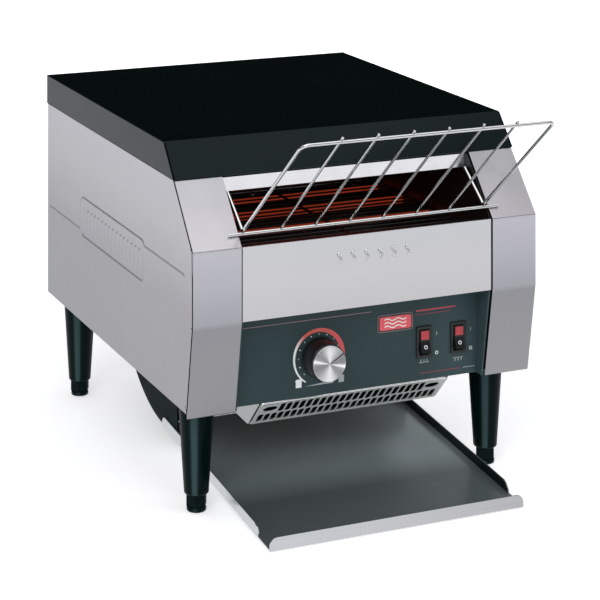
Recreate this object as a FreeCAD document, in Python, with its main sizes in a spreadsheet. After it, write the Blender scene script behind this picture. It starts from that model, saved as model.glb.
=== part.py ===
import FreeCAD, Part
import Sketcher
import math
import os

# Countertop conveyor toaster, millimetres, +Z up, front faces -Y, the user's
# left hand at -X.  The origin is on the counter at the middle of the overall box
# that the feed rack's front edge and the coiled cord at the back span.
#
# Parts are laid out in a frame whose X runs from the left side panel, whose Y
# starts 150 mm in front of the front facet and whose Z is the height over the
# counter.  place() shifts each of them by origin_x and origin_y.

DIMENSIONS = dict(
    # whole body
    origin_x=184.0, origin_y=339.4,
    body_width=368.0, sheet_gauge=1.2, lid_gauge=1.0,
    facet_y=150.0, knuckle_top=263.0, knuckle_low=192.4,
    slope_top_z=319.8, chin_z=103.2, side_bottom=107.4,
    rear_y=596.5, roof_z=351.5, lid_overhang=1.0,
    strip_width=49.2, seam_gap=0.3,
    # control panel; switch_p and knob_p are heights over its lower edge
    panel_gauge=1.5, panel_y=178.0, panel_z=103.2, panel_height=89.0,
    panel_left=50.0, panel_wide=266.8,
    knob_x=142.2, knob_p=37.4, knob_radius=19.2,
    shaft_radius=3.0, neck_radius=4.7,
    switch_a_x=256.2, switch_b_x=294.4, switch_p=37.8,
    bezel_wide=16.8, bezel_high=30.8,
    rocker_wide=10.0, rocker_high=22.4, rocker_tilt=11.0,
    # chamber and conveyor
    wall_left=48.0, wall_gauge=1.2, chamber_right=317.2,
    chamber_top=334.0, chamber_rear=514.0,
    belt_z=238.0, belt_front_y=176.0, belt_rear_y=450.0,
    belt_radius=13.0, belt_left=60.0, belt_wide=248.0,
    axle_radius=5.0, run_clearance=0.05,
    element_radius=4.0, upper_element_z=316.0,
    # legs and feet
    leg_left=26.0, leg_right=342.0, leg_front=207.0,
    leg_rear=561.0, leg_top_radius=17.7, leg_foot_radius=12.0,
    leg_base_z=17.0, stud_radius=3.95, hex_flats=18.0,
    # tray and chute
    tray_left=51.0, tray_wide=266.0, tray_front=88.0,
    tray_rear=367.0, tray_gauge=1.2, tray_lip=12.0,
    tray_rise=23.8, flange_high=10.5,
    chute_left=52.4, chute_wide=263.2, chute_radius=148.0,
    chute_cy=360.0, chute_cz=173.6,
    # vent under the control panel
    vent_left=79.0, vent_wide=206.2, vent_face=39.0,
    slot_wide=5.7, slot_high=16.4, slot_low=14.6, slot_pitch=7.2,
    # feed rack
    rack_rod_y=156.8, rack_rod_z=273.7, rack_half=129.6,
    rack_wire=1.6, rack_thin=1.25, rack_top_y=25.0,
    rack_top_z=383.5, rack_leg_y=198.0, rack_leg_z=304.0,
    rack_rod_half=145.0,
    # chain drive
    sprocket_x=322.0, sprocket_wide=4.0, driven_radius=20.0,
    motor_sprocket_radius=10.0, motor_z=165.0,
    # fan and cord
    fan_x=184.0, fan_z=215.0, fan_side=80.0, cord_radius=3.8,
)

doc = FreeCAD.newDocument("ConveyorToaster")
sheet = doc.addObject("Spreadsheet::Sheet", "Dims")
for row, (alias, size) in enumerate(DIMENSIONS.items(), 1):
    sheet.set("A%d" % row, alias)
    sheet.set("B%d" % row, str(size))
    sheet.setAlias("B%d" % row, alias)
doc.recompute()


# ---------------------------------------------------------------- measures
ARITHMETIC = {
    "+": lambda left, right: left + right,
    "-": lambda left, right: left - right,
    "*": lambda left, right: left * right,
    "/": lambda left, right: left / right,
}


class Measure:
    """A number and the spreadsheet expression that gives it."""

    def __init__(self, number, formula=None):
        self.number = float(number)
        self.formula = formula or repr(self.number)

    def __add__(self, other):
        return combine(self, "+", other)

    def __radd__(self, other):
        return combine(other, "+", self)

    def __sub__(self, other):
        return combine(self, "-", other)

    def __rsub__(self, other):
        return combine(other, "-", self)

    def __mul__(self, other):
        return combine(self, "*", other)

    def __rmul__(self, other):
        return combine(other, "*", self)

    def __truediv__(self, other):
        return combine(self, "/", other)

    def __neg__(self):
        return combine(0, "-", self)


def measure(value):
    return value if isinstance(value, Measure) else Measure(value)


def combine(left, sign, right):
    left, right = measure(left), measure(right)
    return Measure(ARITHMETIC[sign](left.number, right.number),
                   "(%s %s %s)" % (left.formula, sign, right.formula))


class Dimensions:
    """Gives each driving dimension as a Measure."""

    def __getattr__(self, name):
        return Measure(DIMENSIONS[name], "Dims." + name)


dim = Dimensions()

# ---------------------------------------------------------------- solids
X_AXIS = FreeCAD.Vector(1, 0, 0)
UNTURNED = FreeCAD.Rotation()
ALONG_X = FreeCAD.Rotation(FreeCAD.Vector(0, 1, 0), 90.0)
ALONG_Y = FreeCAD.Rotation(X_AXIS, -90.0)
# on the control panel: local Y is up and local Z points out to the front
ON_PANEL = FreeCAD.Rotation(X_AXIS, 90.0)


def bind(item, prop, value):
    value = measure(value)
    setattr(item, prop, value.number)
    item.setExpression(prop, value.formula)


def place(item, x, y, z, turn=UNTURNED):
    """Put an object at a layout point."""
    base = (x - dim.origin_x, y - dim.origin_y, measure(z))
    item.Placement = FreeCAD.Placement(
        FreeCAD.Vector(*[value.number for value in base]), turn)
    for axis, value in zip("xyz", base):
        item.setExpression("Placement.Base." + axis, value.formula)
    return item


def primitive(kind, name, x, y, z, turn, **sizes):
    item = doc.addObject("Part::" + kind, name)
    for prop, value in sizes.items():
        bind(item, prop, value)
    return place(item, x, y, z, turn)


def box(name, x, y, z, length, width, height, turn=UNTURNED):
    return primitive("Box", name, x, y, z, turn, Length=length, Width=width, Height=height)


def cylinder(name, x, y, z, radius, length, turn=ALONG_X):
    return primitive("Cylinder", name, x, y, z, turn, Radius=radius, Height=length)


def bore(name, x, y, z, radius, length):
    """Cutting cylinder along X, 1 mm past both ends of the given length."""
    return cylinder(name, x - 1, y, z, radius, length + 2)


def fuse(name, parts):
    item = doc.addObject("Part::MultiFuse", name)
    item.Shapes = parts
    return item


def cut(name, base, tools):
    item = doc.addObject("Part::Cut", name)
    item.Base = base
    item.Tool = fuse(name + "_tools", tools) if len(tools) > 1 else tools[0]
    return item


def common(name, base, tool):
    item = doc.addObject("Part::Common", name)
    item.Base = base
    item.Tool = tool
    return item


def compound(name, parts):
    item = doc.addObject("Part::Compound", name)
    item.Links = parts
    return item


def feature(name, shape):
    item = doc.addObject("Part::Feature", name)
    item.Shape = shape
    return item


# ---------------------------------------------------------------- sketches and bodies
def pin(sketch, edge, point, u, v):
    """Fix a point of an edge by its distances from the sketch's axes."""
    for kind, axis, value in (("DistanceX", -2, u), ("DistanceY", -1, v)):
        if value.number == 0:
            sketch.addConstraint(Sketcher.Constraint("PointOnObject", edge, point, axis))
        else:
            index = sketch.addConstraint(
                Sketcher.Constraint(kind, -1, 1, edge, point, value.number))
            sketch.setExpression("Constraints[%d]" % index, value.formula)


def draw_circle(sketch, u, v, radius):
    u, v, radius = measure(u), measure(v), measure(radius)
    edge = sketch.addGeometry(Part.Circle(
        FreeCAD.Vector(u.number, v.number, 0), FreeCAD.Vector(0, 0, 1), radius.number), False)
    pin(sketch, edge, 3, u, v)
    index = sketch.addConstraint(Sketcher.Constraint("Radius", edge, radius.number))
    sketch.setExpression("Constraints[%d]" % index, radius.formula)


def draw_outline(sketch, corners):
    corners = [(measure(u), measure(v)) for u, v in corners]
    points = [FreeCAD.Vector(u.number, v.number, 0) for u, v in corners]
    edges = [sketch.addGeometry(Part.LineSegment(start, end), False)
             for start, end in zip(points, points[1:] + points[:1])]
    for edge, following in zip(edges, edges[1:] + edges[:1]):
        sketch.addConstraint(Sketcher.Constraint("Coincident", edge, 2, following, 1))
    for edge, (u, v) in zip(edges, corners):
        pin(sketch, edge, 1, u, v)


def add_sketch(body, name, plane, loops, start=0):
    """Each loop is a list of (u, v) corners or ("circle", u, v, radius)."""
    sketch = body.newObject("Sketcher::SketchObject", name + "_sketch")
    support = next(item for item in body.Origin.OriginFeatures if item.Role == plane)
    sketch.AttachmentSupport = [(support, "")]
    sketch.MapMode = "FlatFace"
    for loop in loops:
        if loop[0] == "circle":
            draw_circle(sketch, *loop[1:])
        else:
            draw_outline(sketch, loop)
    start = measure(start)
    if start.number != 0:
        sketch.AttachmentOffset = FreeCAD.Placement(
            FreeCAD.Vector(0, 0, start.number), UNTURNED)
        sketch.setExpression("AttachmentOffset.Base.z", start.formula)
    return sketch


def pad(body, name, plane, loops, length, start=0):
    sketch = add_sketch(body, name, plane, loops, start)
    item = body.newObject("PartDesign::Pad", name + "_pad")
    item.Profile = sketch
    bind(item, "Length", length)


def pocket(body, name, loops):
    """Cut loops on the XY plane right through; returns the pocket and its sketch."""
    sketch = add_sketch(body, name, "XY_Plane", loops)
    item = body.newObject("PartDesign::Pocket", name + "_pocket")
    item.Profile = sketch
    item.Type = "ThroughAll"
    item.SideType = "Symmetric"
    return item, sketch


def new_body(name, x=0, y=0, z=0, turn=UNTURNED):
    return place(doc.addObject("PartDesign::Body", name), x, y, z, turn)


def profile(name, outline, x, width, holes=()):
    """A body drawn on the layout's YZ plane and run along X."""
    body = new_body(name)
    pad(body, name, "YZ_Plane", [outline] + list(holes), width, x)
    return body


def turned(name, half_section, x, y, z, turn=UNTURNED):
    """A body turned about its own Z axis from (radius, height) corners."""
    body = new_body(name, x, y, z, turn)
    sketch = add_sketch(body, name, "XZ_Plane", [half_section])
    item = body.newObject("PartDesign::Revolution", name + "_turn")
    item.Profile = sketch
    item.ReferenceAxis = (sketch, ["V_Axis"])
    item.Angle = 360.0
    return body


def rectangle(left, low, right, high):
    return [(left, low), (right, low), (right, high), (left, high)]


def mirrored(quarter, u, v):
    """Outline about (u, v) from the corners of its upper right quarter."""
    half = [(-across, -up) for across, up in quarter]
    half += [(across, -up) for across, up in reversed(quarter)]
    return [(u + across, v + up)
            for across, up in half + [(-across, -up) for across, up in half]]


# ---------------------------------------------------------------- casing
# The front profile is a slope leaning back, an upright facet and a chin
# receding below it.
SLOPE_RUN = 0.65319 / 0.75719   # rearward run per mm of rise
CHIN_RUN = 0.17442 / 0.98467    # rearward run per mm of drop
SLOPE_MITRE = 0.37191           # drop of the upper knuckle per mm of inset
CHIN_MITRE = 0.08780            # rise of the lower knuckle per mm of inset

GAUGE = dim.sheet_gauge
SIDE_TOP = dim.roof_z - dim.lid_gauge - dim.seam_gap
CORD_X, CORD_Z = 60.0, 135.0    # where the cord passes the rear panel


def slope_y(z, inset):
    return (dim.facet_y + inset
            + (z - (dim.knuckle_top - inset * SLOPE_MITRE)) * SLOPE_RUN)


def chin_y(z, inset):
    return (dim.facet_y + inset
            + (dim.knuckle_low + inset * CHIN_MITRE - z) * CHIN_RUN)


def front_line(inset, top, low):
    """Corners of the front profile from the top down, inset behind the outer face."""
    return [(slope_y(top, inset), top),
            (dim.facet_y + inset, dim.knuckle_top - inset * SLOPE_MITRE),
            (dim.facet_y + inset, dim.knuckle_low + inset * CHIN_MITRE),
            (chin_y(low, inset), low)]


def front_strip(name, x):
    strip_top = 334.0
    outer = front_line(0, strip_top, dim.chin_z)
    inner = front_line(GAUGE, strip_top, dim.chin_z)
    return profile(name, outer + inner[::-1], x, dim.strip_width)


def side_panel(name, x):
    back = dim.rear_y - GAUGE - 0.2
    front = front_line(GAUGE + dim.seam_gap, SIDE_TOP, dim.side_bottom)
    return profile(name, front + [(back, dim.side_bottom), (back, SIDE_TOP)], x, GAUGE)


def front_panel():
    """One facet; its top edge folds back and down, its bottom edge folds back."""
    face, top = dim.facet_y, dim.knuckle_top
    low = dim.knuckle_low + 0.3
    low_fold_end = dim.panel_y - 0.4
    top_fold = 9.0
    down_fold = 5.0
    side_growth = 0.2
    return profile("FrontPanel", [
        (face, low), (low_fold_end, low), (low_fold_end, low + GAUGE),
        (face + GAUGE, low + GAUGE), (face + GAUGE, top - GAUGE),
        (face + top_fold, top - GAUGE), (face + top_fold, top - down_fold),
        (face + top_fold + GAUGE, top - down_fold), (face + top_fold + GAUGE, top),
        (face, top)],
        dim.panel_left - side_growth, dim.panel_wide + 2 * side_growth)


def top_cover():
    """Lid: outer profile less inner profile, open below."""
    over = dim.lid_overhang
    low, roof = dim.slope_top_z, dim.roof_z
    outer = profile("LidOuter", [
        (slope_y(low, -over), low), (slope_y(roof, -over), roof),
        (dim.rear_y + over, roof), (dim.rear_y + over, low)],
        -over, dim.body_width + 2 * over)
    low, roof = low - 3, roof - dim.lid_gauge
    inner = profile("LidInner", [
        (slope_y(low, 0), low), (slope_y(roof, 0), roof),
        (dim.rear_y, roof), (dim.rear_y, low)],
        0, dim.body_width)
    return cut("TopCover", outer, [inner])


def rear_panel():
    """Rear sheet with vent slots behind the fan and a hole for the cord."""
    left_edge = 0.001           # just off the sketch's axis
    hole_radius = 8.1
    slot_half, slot_pitch, slot_high = 34, 8, 3.2
    panel = new_body("RearPanelSheet", y=dim.rear_y)
    pad(panel, "RearSheet", "XZ_Plane",
        [rectangle(left_edge, dim.side_bottom, dim.body_width, SIDE_TOP),
         ("circle", CORD_X, CORD_Z, hole_radius)], GAUGE)
    slots = [box("VentSlot%d" % i, dim.fan_x - slot_half, dim.rear_y - 5,
                 dim.fan_z - slot_half + slot_pitch * i, 2 * slot_half, 10, slot_high)
             for i in range(9)]
    return cut("RearPanel", panel, slots)


def base_pan():
    """Floor sheet open for the toast path, the vent box and the control panel."""
    low, high = 100, 20         # the cutting blocks pass right through the sheet
    pan = box("PanSheet", GAUGE, 168.2, dim.side_bottom,
              dim.body_width - 2 * GAUGE, 426.8, GAUGE)
    return cut("BasePan", pan, [
        box("PanToastHole", dim.chute_left - 0.8, 247, low, dim.chute_wide + 1.6, 263, high),
        box("PanVentHole", dim.vent_left + 4, 184, low, dim.vent_wide - 8, 58, high),
        box("PanFrontNotch", dim.panel_left - 0.5, 160, low, dim.panel_wide + 0.8, 20.3, high)])


# ---------------------------------------------------------------- control panel
SHELL_WIDE = dim.bezel_wide - 3
SHELL_HIGH = dim.bezel_high - 4
ROCKER_PIVOT = -1.0             # height of the rocker pivot over the panel face
ROCKER_TURN = FreeCAD.Rotation(X_AXIS, 90.0 - dim.rocker_tilt.number)


def on_panel(x, up, out):
    """Layout point up from the panel's lower edge and out from its front face."""
    return x, dim.panel_y - out, dim.panel_z + up


def panel_block(name, x, up, out, wide, high, deep):
    """Box centred on (x, up), running forward from out."""
    return box(name, *on_panel(x - wide / 2, up - high / 2, out), wide, high, deep, ON_PANEL)


def panel_cylinder(name, out, radius, length):
    """Cylinder on the knob's axis, running forward from out."""
    return cylinder(name, *on_panel(dim.knob_x, dim.knob_p, out), radius, length, ON_PANEL)


def control_panel():
    """Upright sheet with holes, and side flanges forward to the strips."""
    clearance = 0.1
    panel = new_body("ControlPanel", *on_panel(dim.panel_left, 0, -dim.panel_gauge), ON_PANEL)
    pad(panel, "PanelSheet", "XY_Plane", [
        rectangle(0, 0, dim.panel_wide, dim.panel_height),
        ("circle", dim.knob_x - dim.panel_left, dim.knob_p, dim.neck_radius + clearance)],
        dim.panel_gauge)
    half_wide = SHELL_WIDE / 2 + clearance
    half_high = SHELL_HIGH / 2 + clearance
    for tag, switch_x in (("A", dim.switch_a_x), ("B", dim.switch_b_x)):
        across = switch_x - dim.panel_left
        pocket(panel, "SwitchHole" + tag, [rectangle(
            across - half_wide, dim.switch_p - half_high,
            across + half_wide, dim.switch_p + half_high)])
    inset = 1.6
    low, top = dim.panel_z, dim.panel_z + dim.panel_height
    back = dim.panel_y + 0.2
    outline = [(chin_y(top, inset), top), (chin_y(low, inset), low), (back, low), (back, top)]
    right = dim.panel_left + dim.panel_wide - dim.panel_gauge
    return fuse("ControlPanelSheet", [
        panel,
        profile("PanelFlangeA", outline, dim.panel_left, dim.panel_gauge),
        profile("PanelFlangeB", outline, right, dim.panel_gauge)])


def speed_control():
    """Box and neck behind the knob, bored for the shaft."""
    side = 28
    body = fuse("SpeedControlBody", [
        panel_block("ControlBox", dim.knob_x, dim.knob_p, -15.0, side, side, 13.3),
        panel_cylinder("ControlNeck", -3.0, dim.neck_radius, 4.8)])
    return cut("SpeedControl", body, [
        panel_cylinder("ControlBore", -13.0, dim.shaft_radius + dim.run_clearance, 20)])


def control_shaft():
    return panel_cylinder("ControlShaft", -12.5, dim.shaft_radius, 29)


def speed_knob():
    """Smooth tapered skirt with a blind bore for the shaft."""
    radius = dim.knob_radius
    bore_radius = dim.shaft_radius + 0.03
    return turned("KnobTurned", [
        (bore_radius, 0), (radius, 0), (radius, 2.4), (radius - 0.4, 3.0),
        (radius - 0.8, 18.8), (radius - 1.0, 19.6), (radius - 1.5, 20.0),
        (0, 20.0), (0, 15.0), (bore_radius, 15.0)],
        *on_panel(dim.knob_x, dim.knob_p, 2.2), ON_PANEL)


def knob_cap():
    radius = dim.knob_radius
    return turned("KnobCap", [
        (0, 0), (radius - 1.9, 0), (radius - 1.9, 1.6), (radius - 2.6, 2.2),
        (radius - 6.0, 2.5), (0, 2.5)],
        *on_panel(dim.knob_x, dim.knob_p, 22.24), ON_PANEL)


def switch_housing(tag, x):
    """Bezel and shell with two rear tabs, hollowed for the rocker and its pin."""
    up = dim.switch_p
    solid = fuse("SwitchSolid" + tag, [
        panel_block("Bezel" + tag, x, up, 0.0, dim.bezel_wide, dim.bezel_high, 2.0),
        panel_block("SwitchShell" + tag, x, up, -20.0, SHELL_WIDE, SHELL_HIGH, 21.0),
        panel_block("SwitchTab%sa" % tag, x - 4.6, up - 5, -28.0, 0.8, 6, 8.2),
        panel_block("SwitchTab%sb" % tag, x + 4.4, up + 5, -28.0, 0.8, 6, 8.2)])
    return cut("SwitchHousing" + tag, solid, [
        panel_block("SwitchCavity" + tag, x, up, -9.5,
                    dim.rocker_wide + 0.8, dim.rocker_high + 2.8, 20),
        panel_block("SwitchPocket" + tag, x, up, -2.6, dim.rocker_wide + 2.6, 3.2, 3.2)])


def rocker(tag, x):
    """Shallow V seesaw with its pivot at its own origin, tilted, on a pin."""
    half = dim.rocker_high / 2
    pin_overhang = 1.1
    pivot = on_panel(x, dim.switch_p, ROCKER_PIVOT)
    seesaw = new_body("RockerBody" + tag, *pivot, ROCKER_TURN)
    pad(seesaw, "Rocker" + tag, "YZ_Plane", [[
        (-half, 6.2), (-0.8, 4.5), (0.8, 4.5), (half, 6.2),
        (half, 0), (half - 5, -4.0), (5 - half, -4.0), (-half, 0)]],
        dim.rocker_wide, -dim.rocker_wide / 2)
    pivot_pin = cylinder("RockerPin" + tag, x - dim.rocker_wide / 2 - pin_overhang,
                         pivot[1], pivot[2], 1.4, dim.rocker_wide + 2 * pin_overhang)
    return fuse("Rocker" + tag, [seesaw, pivot_pin])


def rocker_lens(tag, x):
    """Thin plate on the upper arm of the rocker."""
    side_margin = 0.6
    end = dim.rocker_high / 2 - 0.8
    lens = new_body("LensBody" + tag, *on_panel(x, dim.switch_p, ROCKER_PIVOT), ROCKER_TURN)
    pad(lens, "Lens" + tag, "YZ_Plane", [[(2.0, 4.75), (end, 6.12), (end, 6.8), (2.0, 5.43)]],
        dim.rocker_wide - 2 * side_margin, side_margin - dim.rocker_wide / 2)
    return lens


# ---------------------------------------------------------------- vent under the panel
def vent_slot(u, v, high):
    """Upright slot with clipped corners, centred on (u, v)."""
    half_wide, half_high, clip = dim.slot_wide / 2, high / 2, 1.4
    return mirrored([(half_wide, half_high - clip), (half_wide - clip, half_high)], u, v)


def vent_grille():
    """Sheet drawn flat (X along the row, Y up the face, Z outward), leaning 45 degrees."""
    wide, face = dim.vent_wide - 4.8, dim.vent_face
    upper_row, lower_row = face * 0.7, face * 0.268
    oval_inset = 13.0
    oval_quarter = [(7.4, 1.2), (5.8, 3.6), (2.8, 4.9)]
    grille = new_body("VentGrille", dim.vent_left + 2.4, 206.6, 74.9,
                      FreeCAD.Rotation(X_AXIS, 135.0))
    pad(grille, "GrilleSheet", "XY_Plane", [rectangle(0, 0, wide, face)], 1.0)
    for tag, across in (("L", oval_inset), ("R", wide - oval_inset)):
        pocket(grille, "EndOval" + tag, [mirrored(oval_quarter, across, upper_row)])
    # row name, centre of its first slot, slot height, number of slots
    for name, across, up, high, count in (
            ("UpperSlot", 25.5, upper_row, dim.slot_high, 22),
            ("LowerSlot", 7.0, lower_row, dim.slot_low, 27)):
        slot, sketch = pocket(grille, name, [vent_slot(across, up, high)])
        doc.recompute()     # the pattern needs the finished pocket
        pattern = grille.newObject("PartDesign::LinearPattern", name + "s")
        pattern.Originals = [slot]
        pattern.Direction = (sketch, ["H_Axis"])
        bind(pattern, "Length", dim.slot_pitch * (count - 1))
        pattern.Occurrences = count
        grille.Tip = pattern
    return grille


def vent_box():
    """Box behind the grille, open at the top and towards the grille."""
    wall = 1.2
    # (y, z) corners
    outer = [(180.2, 101.4), (206.9, 74.7), (246.0, 76.6), (246.0, 107.2), (180.2, 107.2)]
    inner = [(177.0, 103.5), (207.9, 72.6), (207.9, 75.95),
             (244.8, 77.7), (244.8, 110.0), (177.0, 110.0)]
    return cut("VentBox", profile("VentBoxOuter", outer, dim.vent_left, dim.vent_wide),
               [profile("VentBoxInner", inner, dim.vent_left + wall, dim.vent_wide - 2 * wall)])


# ---------------------------------------------------------------- chamber
UPPER_ELEMENT_YS = [250.0 + 55.0 * i for i in range(5)]
LOWER_ELEMENT_YS = [225.0 + 60.0 * i for i in range(4)]
CHAMBER_WIDE = dim.chamber_right + dim.wall_gauge - dim.wall_left
INNER_GAP = 0.2                 # between a chamber wall and a sheet inside it
INNER_LEFT = dim.wall_left + dim.wall_gauge + INNER_GAP
INNER_WIDE = dim.chamber_right - INNER_GAP - INNER_LEFT


def chamber_wall(name, x):
    """Side wall with holes for the bushings and the heating elements."""
    bottom = 108.9
    bush_hole, element_hole = 8.1, 4.4
    back = dim.chamber_rear - 0.2
    outline = front_line(3.0, dim.chamber_top, bottom)
    outline += [(back, bottom), (back, dim.chamber_top)]
    holes = [("circle", y, dim.belt_z, bush_hole) for y in (dim.belt_front_y, dim.belt_rear_y)]
    holes += [("circle", y, dim.upper_element_z, element_hole) for y in UPPER_ELEMENT_YS]
    holes += [("circle", y, dim.belt_z, element_hole) for y in LOWER_ELEMENT_YS]
    return profile(name, outline, x, dim.wall_gauge, holes)


def chamber_rear_wall():
    bottom = 109.0
    return box("ChamberRearWall", dim.wall_left, dim.chamber_rear, bottom,
               CHAMBER_WIDE, GAUGE, dim.chamber_top - bottom)


def upper_baffle():
    """Upright sheet at the chamber's upper front, bent back at its top."""
    outline = [(204.0, 303.0), (205.2, 303.0), (205.2, 322.9), (216.0, 334.2),
               (216.0, 335.4), (214.4, 335.4), (204.0, 323.5)]
    return profile("UpperBaffle", outline, INNER_LEFT, INNER_WIDE)


def top_reflector():
    return box("TopReflector", dim.wall_left, 216.4, dim.chamber_top + 0.1,
               CHAMBER_WIDE, 299.0, GAUGE)


def insulation_blanket():
    return box("InsulationBlanket", 56.0, 236.0, dim.chamber_top + 1.5, 256.0, 270.0, 12.0)


def heat_shield():
    """Roof and rear of the control compartment."""
    outline = [(154.0, 196.0), (243.6, 196.0), (243.6, 109.0),
               (244.8, 109.0), (244.8, 197.2), (154.0, 197.2)]
    return profile("HeatShield", outline, INNER_LEFT, INNER_WIDE)


def elements(row, ys, z):
    """A row of heating tubes across the chamber."""
    return compound(row + "Elements", [
        cylinder("%sTube%d" % (row, i), 40.0, y, z, dim.element_radius, 286.0)
        for i, y in enumerate(ys)])


# ---------------------------------------------------------------- conveyor
BAND_WIDE, ROLLER_WIDE = 2.8, 4.0
BAND_XS = [dim.belt_left + (dim.belt_wide - BAND_WIDE) / 2 * i for i in range(3)]
BELT_RUN = dim.belt_rear_y - dim.belt_front_y
WIRE_LOOP_RADIUS = dim.belt_radius - 0.8


def belt_oval(name, x, wide, radius):
    return fuse(name, [
        cylinder(name + "_f", x, dim.belt_front_y, dim.belt_z, radius, wide),
        cylinder(name + "_r", x, dim.belt_rear_y, dim.belt_z, radius, wide),
        box(name + "_m", x, dim.belt_front_y, dim.belt_z - radius, wide, BELT_RUN, radius * 2)])


def wire_point(fraction):
    """(y, z) at a fraction of the belt loop, starting at the front of the upper run."""
    run, radius = BELT_RUN.number, WIRE_LOOP_RADIUS.number
    front, rear, z = dim.belt_front_y.number, dim.belt_rear_y.number, dim.belt_z.number
    bend = math.pi * radius
    travel = 2 * (run + bend) * fraction
    if travel < run:
        return front + travel, z + radius
    travel -= run
    if travel < bend:
        angle = travel / radius
        return rear + radius * math.sin(angle), z + radius * math.cos(angle)
    travel -= bend
    if travel < run:
        return rear - travel, z - radius
    angle = (travel - run) / radius
    return front - radius * math.sin(angle), z - radius * math.cos(angle)


def conveyor_belt():
    """Cross wires on an oval path, joined by three bands."""
    wire_count, wire_radius, band_thick = 48, 1.0, 1.6
    parts = []
    for i, x in enumerate(BAND_XS):
        outer = belt_oval("BandOut%d" % i, x, BAND_WIDE, dim.belt_radius)
        inner = belt_oval("BandIn%d" % i, x - 1, BAND_WIDE + 2, dim.belt_radius - band_thick)
        parts.append(cut("BeltBand%d" % i, outer, [inner]))
    for i in range(wire_count):
        y, z = wire_point(i / wire_count)
        parts.append(cylinder("BeltWire%02d" % i, dim.belt_left, y, z,
                              wire_radius, dim.belt_wide))
    return fuse("ConveyorBelt", parts)


def axle(name, y, length):
    return cylinder(name, 44.0, y, dim.belt_z, dim.axle_radius, length)


def rollers(name, y):
    """Three discs on an axle, each with six round notches in its rim."""
    radius = dim.belt_radius - 2.2
    notch_radius = 1.6
    discs = []
    for i, band_x in enumerate(BAND_XS):
        x = band_x - (ROLLER_WIDE - BAND_WIDE) / 2
        disc = cylinder("%sDisc%d" % (name, i), x, y, dim.belt_z, radius, ROLLER_WIDE)
        tools = [bore("%sHole%d" % (name, i), x, y, dim.belt_z, dim.axle_radius, ROLLER_WIDE)]
        for k in range(6):
            angle = math.radians(60 * k)
            tools.append(bore("%sNotch%d_%d" % (name, i, k), x,
                              y + radius * math.cos(angle),
                              dim.belt_z + radius * math.sin(angle),
                              notch_radius, ROLLER_WIDE))
        discs.append(cut("%sRoller%d" % (name, i), disc, tools))
    return compound(name, discs)


def shaft_bushings():
    radius, length = 8.0, 6.2
    spots = [(x, y) for x in (dim.wall_left - 3, dim.chamber_right - 2)
             for y in (dim.belt_front_y, dim.belt_rear_y)]
    return compound("ShaftBushings", [
        cut("Bush%d" % i,
            cylinder("BushOut%d" % i, x, y, dim.belt_z, radius, length),
            [bore("BushBore%d" % i, x, y, dim.belt_z,
                  dim.axle_radius + dim.run_clearance, length)])
        for i, (x, y) in enumerate(spots)])


# ---------------------------------------------------------------- chain drive on the right
def sprocket(name, z, radius, teeth, bore_radius):
    """Disc with round gaps between its teeth."""
    gap_radius = 1.75
    x, y, wide = dim.sprocket_x, dim.belt_rear_y, dim.sprocket_wide
    disc = cylinder(name + "Disc", x, y, z, radius, wide)
    tools = [bore(name + "Bore", x, y, z, bore_radius, wide)]
    for k in range(teeth):
        angle = 2 * math.pi * (k + 0.5) / teeth
        tools.append(bore("%sGap%d" % (name, k), x, y + radius * math.cos(angle),
                          z + radius * math.sin(angle), gap_radius, wide))
    return cut(name, disc, tools)


def motor_sprocket():
    shaft_radius = 4.0
    wheel = sprocket("MotorSprocket", dim.motor_z, dim.motor_sprocket_radius, 10,
                     shaft_radius - 0.1)
    shaft = cylinder("MotorShaft", dim.sprocket_x - 1, dim.belt_rear_y, dim.motor_z,
                     shaft_radius, 15.0)
    return fuse("MotorSprocketAssy", [wheel, shaft])


def chain_hull(name, growth, x, wide):
    """Solid loop around both sprockets, their radii grown by growth."""
    upper, lower = dim.driven_radius + growth, dim.motor_sprocket_radius + growth
    y, upper_z, lower_z = dim.belt_rear_y, dim.belt_z, dim.motor_z
    # direction from a sprocket's centre to where the straight run leaves it
    rise = (upper - lower).number / (upper_z - lower_z).number
    across = math.sqrt(1 - rise * rise)
    web = profile(name + "Web", [
        (y + upper * across, upper_z + upper * rise),
        (y - upper * across, upper_z + upper * rise),
        (y - lower * across, lower_z + lower * rise),
        (y + lower * across, lower_z + lower * rise)], x, wide)
    return fuse(name, [web, cylinder(name + "A", x, y, upper_z, upper, wide),
                       cylinder(name + "B", x, y, lower_z, lower, wide)])


def drive_chain():
    wide = 3.2
    x = dim.sprocket_x + 0.4
    return cut("DriveChain", chain_hull("ChainOut", 3.6, x, wide),
               [chain_hull("ChainIn", 0.4, x - 1, wide + 2)])


def gearmotor():
    """Gearbox centred on the motor sprocket's axis, motor can in front of it."""
    y, z = dim.belt_rear_y, dim.motor_z
    body = fuse("GearmotorBody", [
        box("GearBox", 336.5, y - 32, z - 33, 22.0, 64.0, 66.0),
        cylinder("MotorCan", 347.5, 330.0, z, 15.0, 88.0, ALONG_Y)])
    return cut("Gearmotor", body, [cylinder("GearBoxBore", 330.0, y, z, 4.05, 8.0)])


def motor_bracket():
    """Upright plate and foot, with a hole for the motor shaft."""
    x, y, wide, gauge = 334.8, 419.0, 69.0, 1.5
    body = fuse("MotorBracketBody", [
        box("BracketPlate", x, y, 108.8, gauge, wide, 95.0),
        box("BracketFoot", x, y, 108.7, 26.0, wide, gauge)])
    return cut("MotorBracket", body, [
        cylinder("BracketHole", 330.0, dim.belt_rear_y, dim.motor_z, 6.0, 10.0)])


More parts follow.
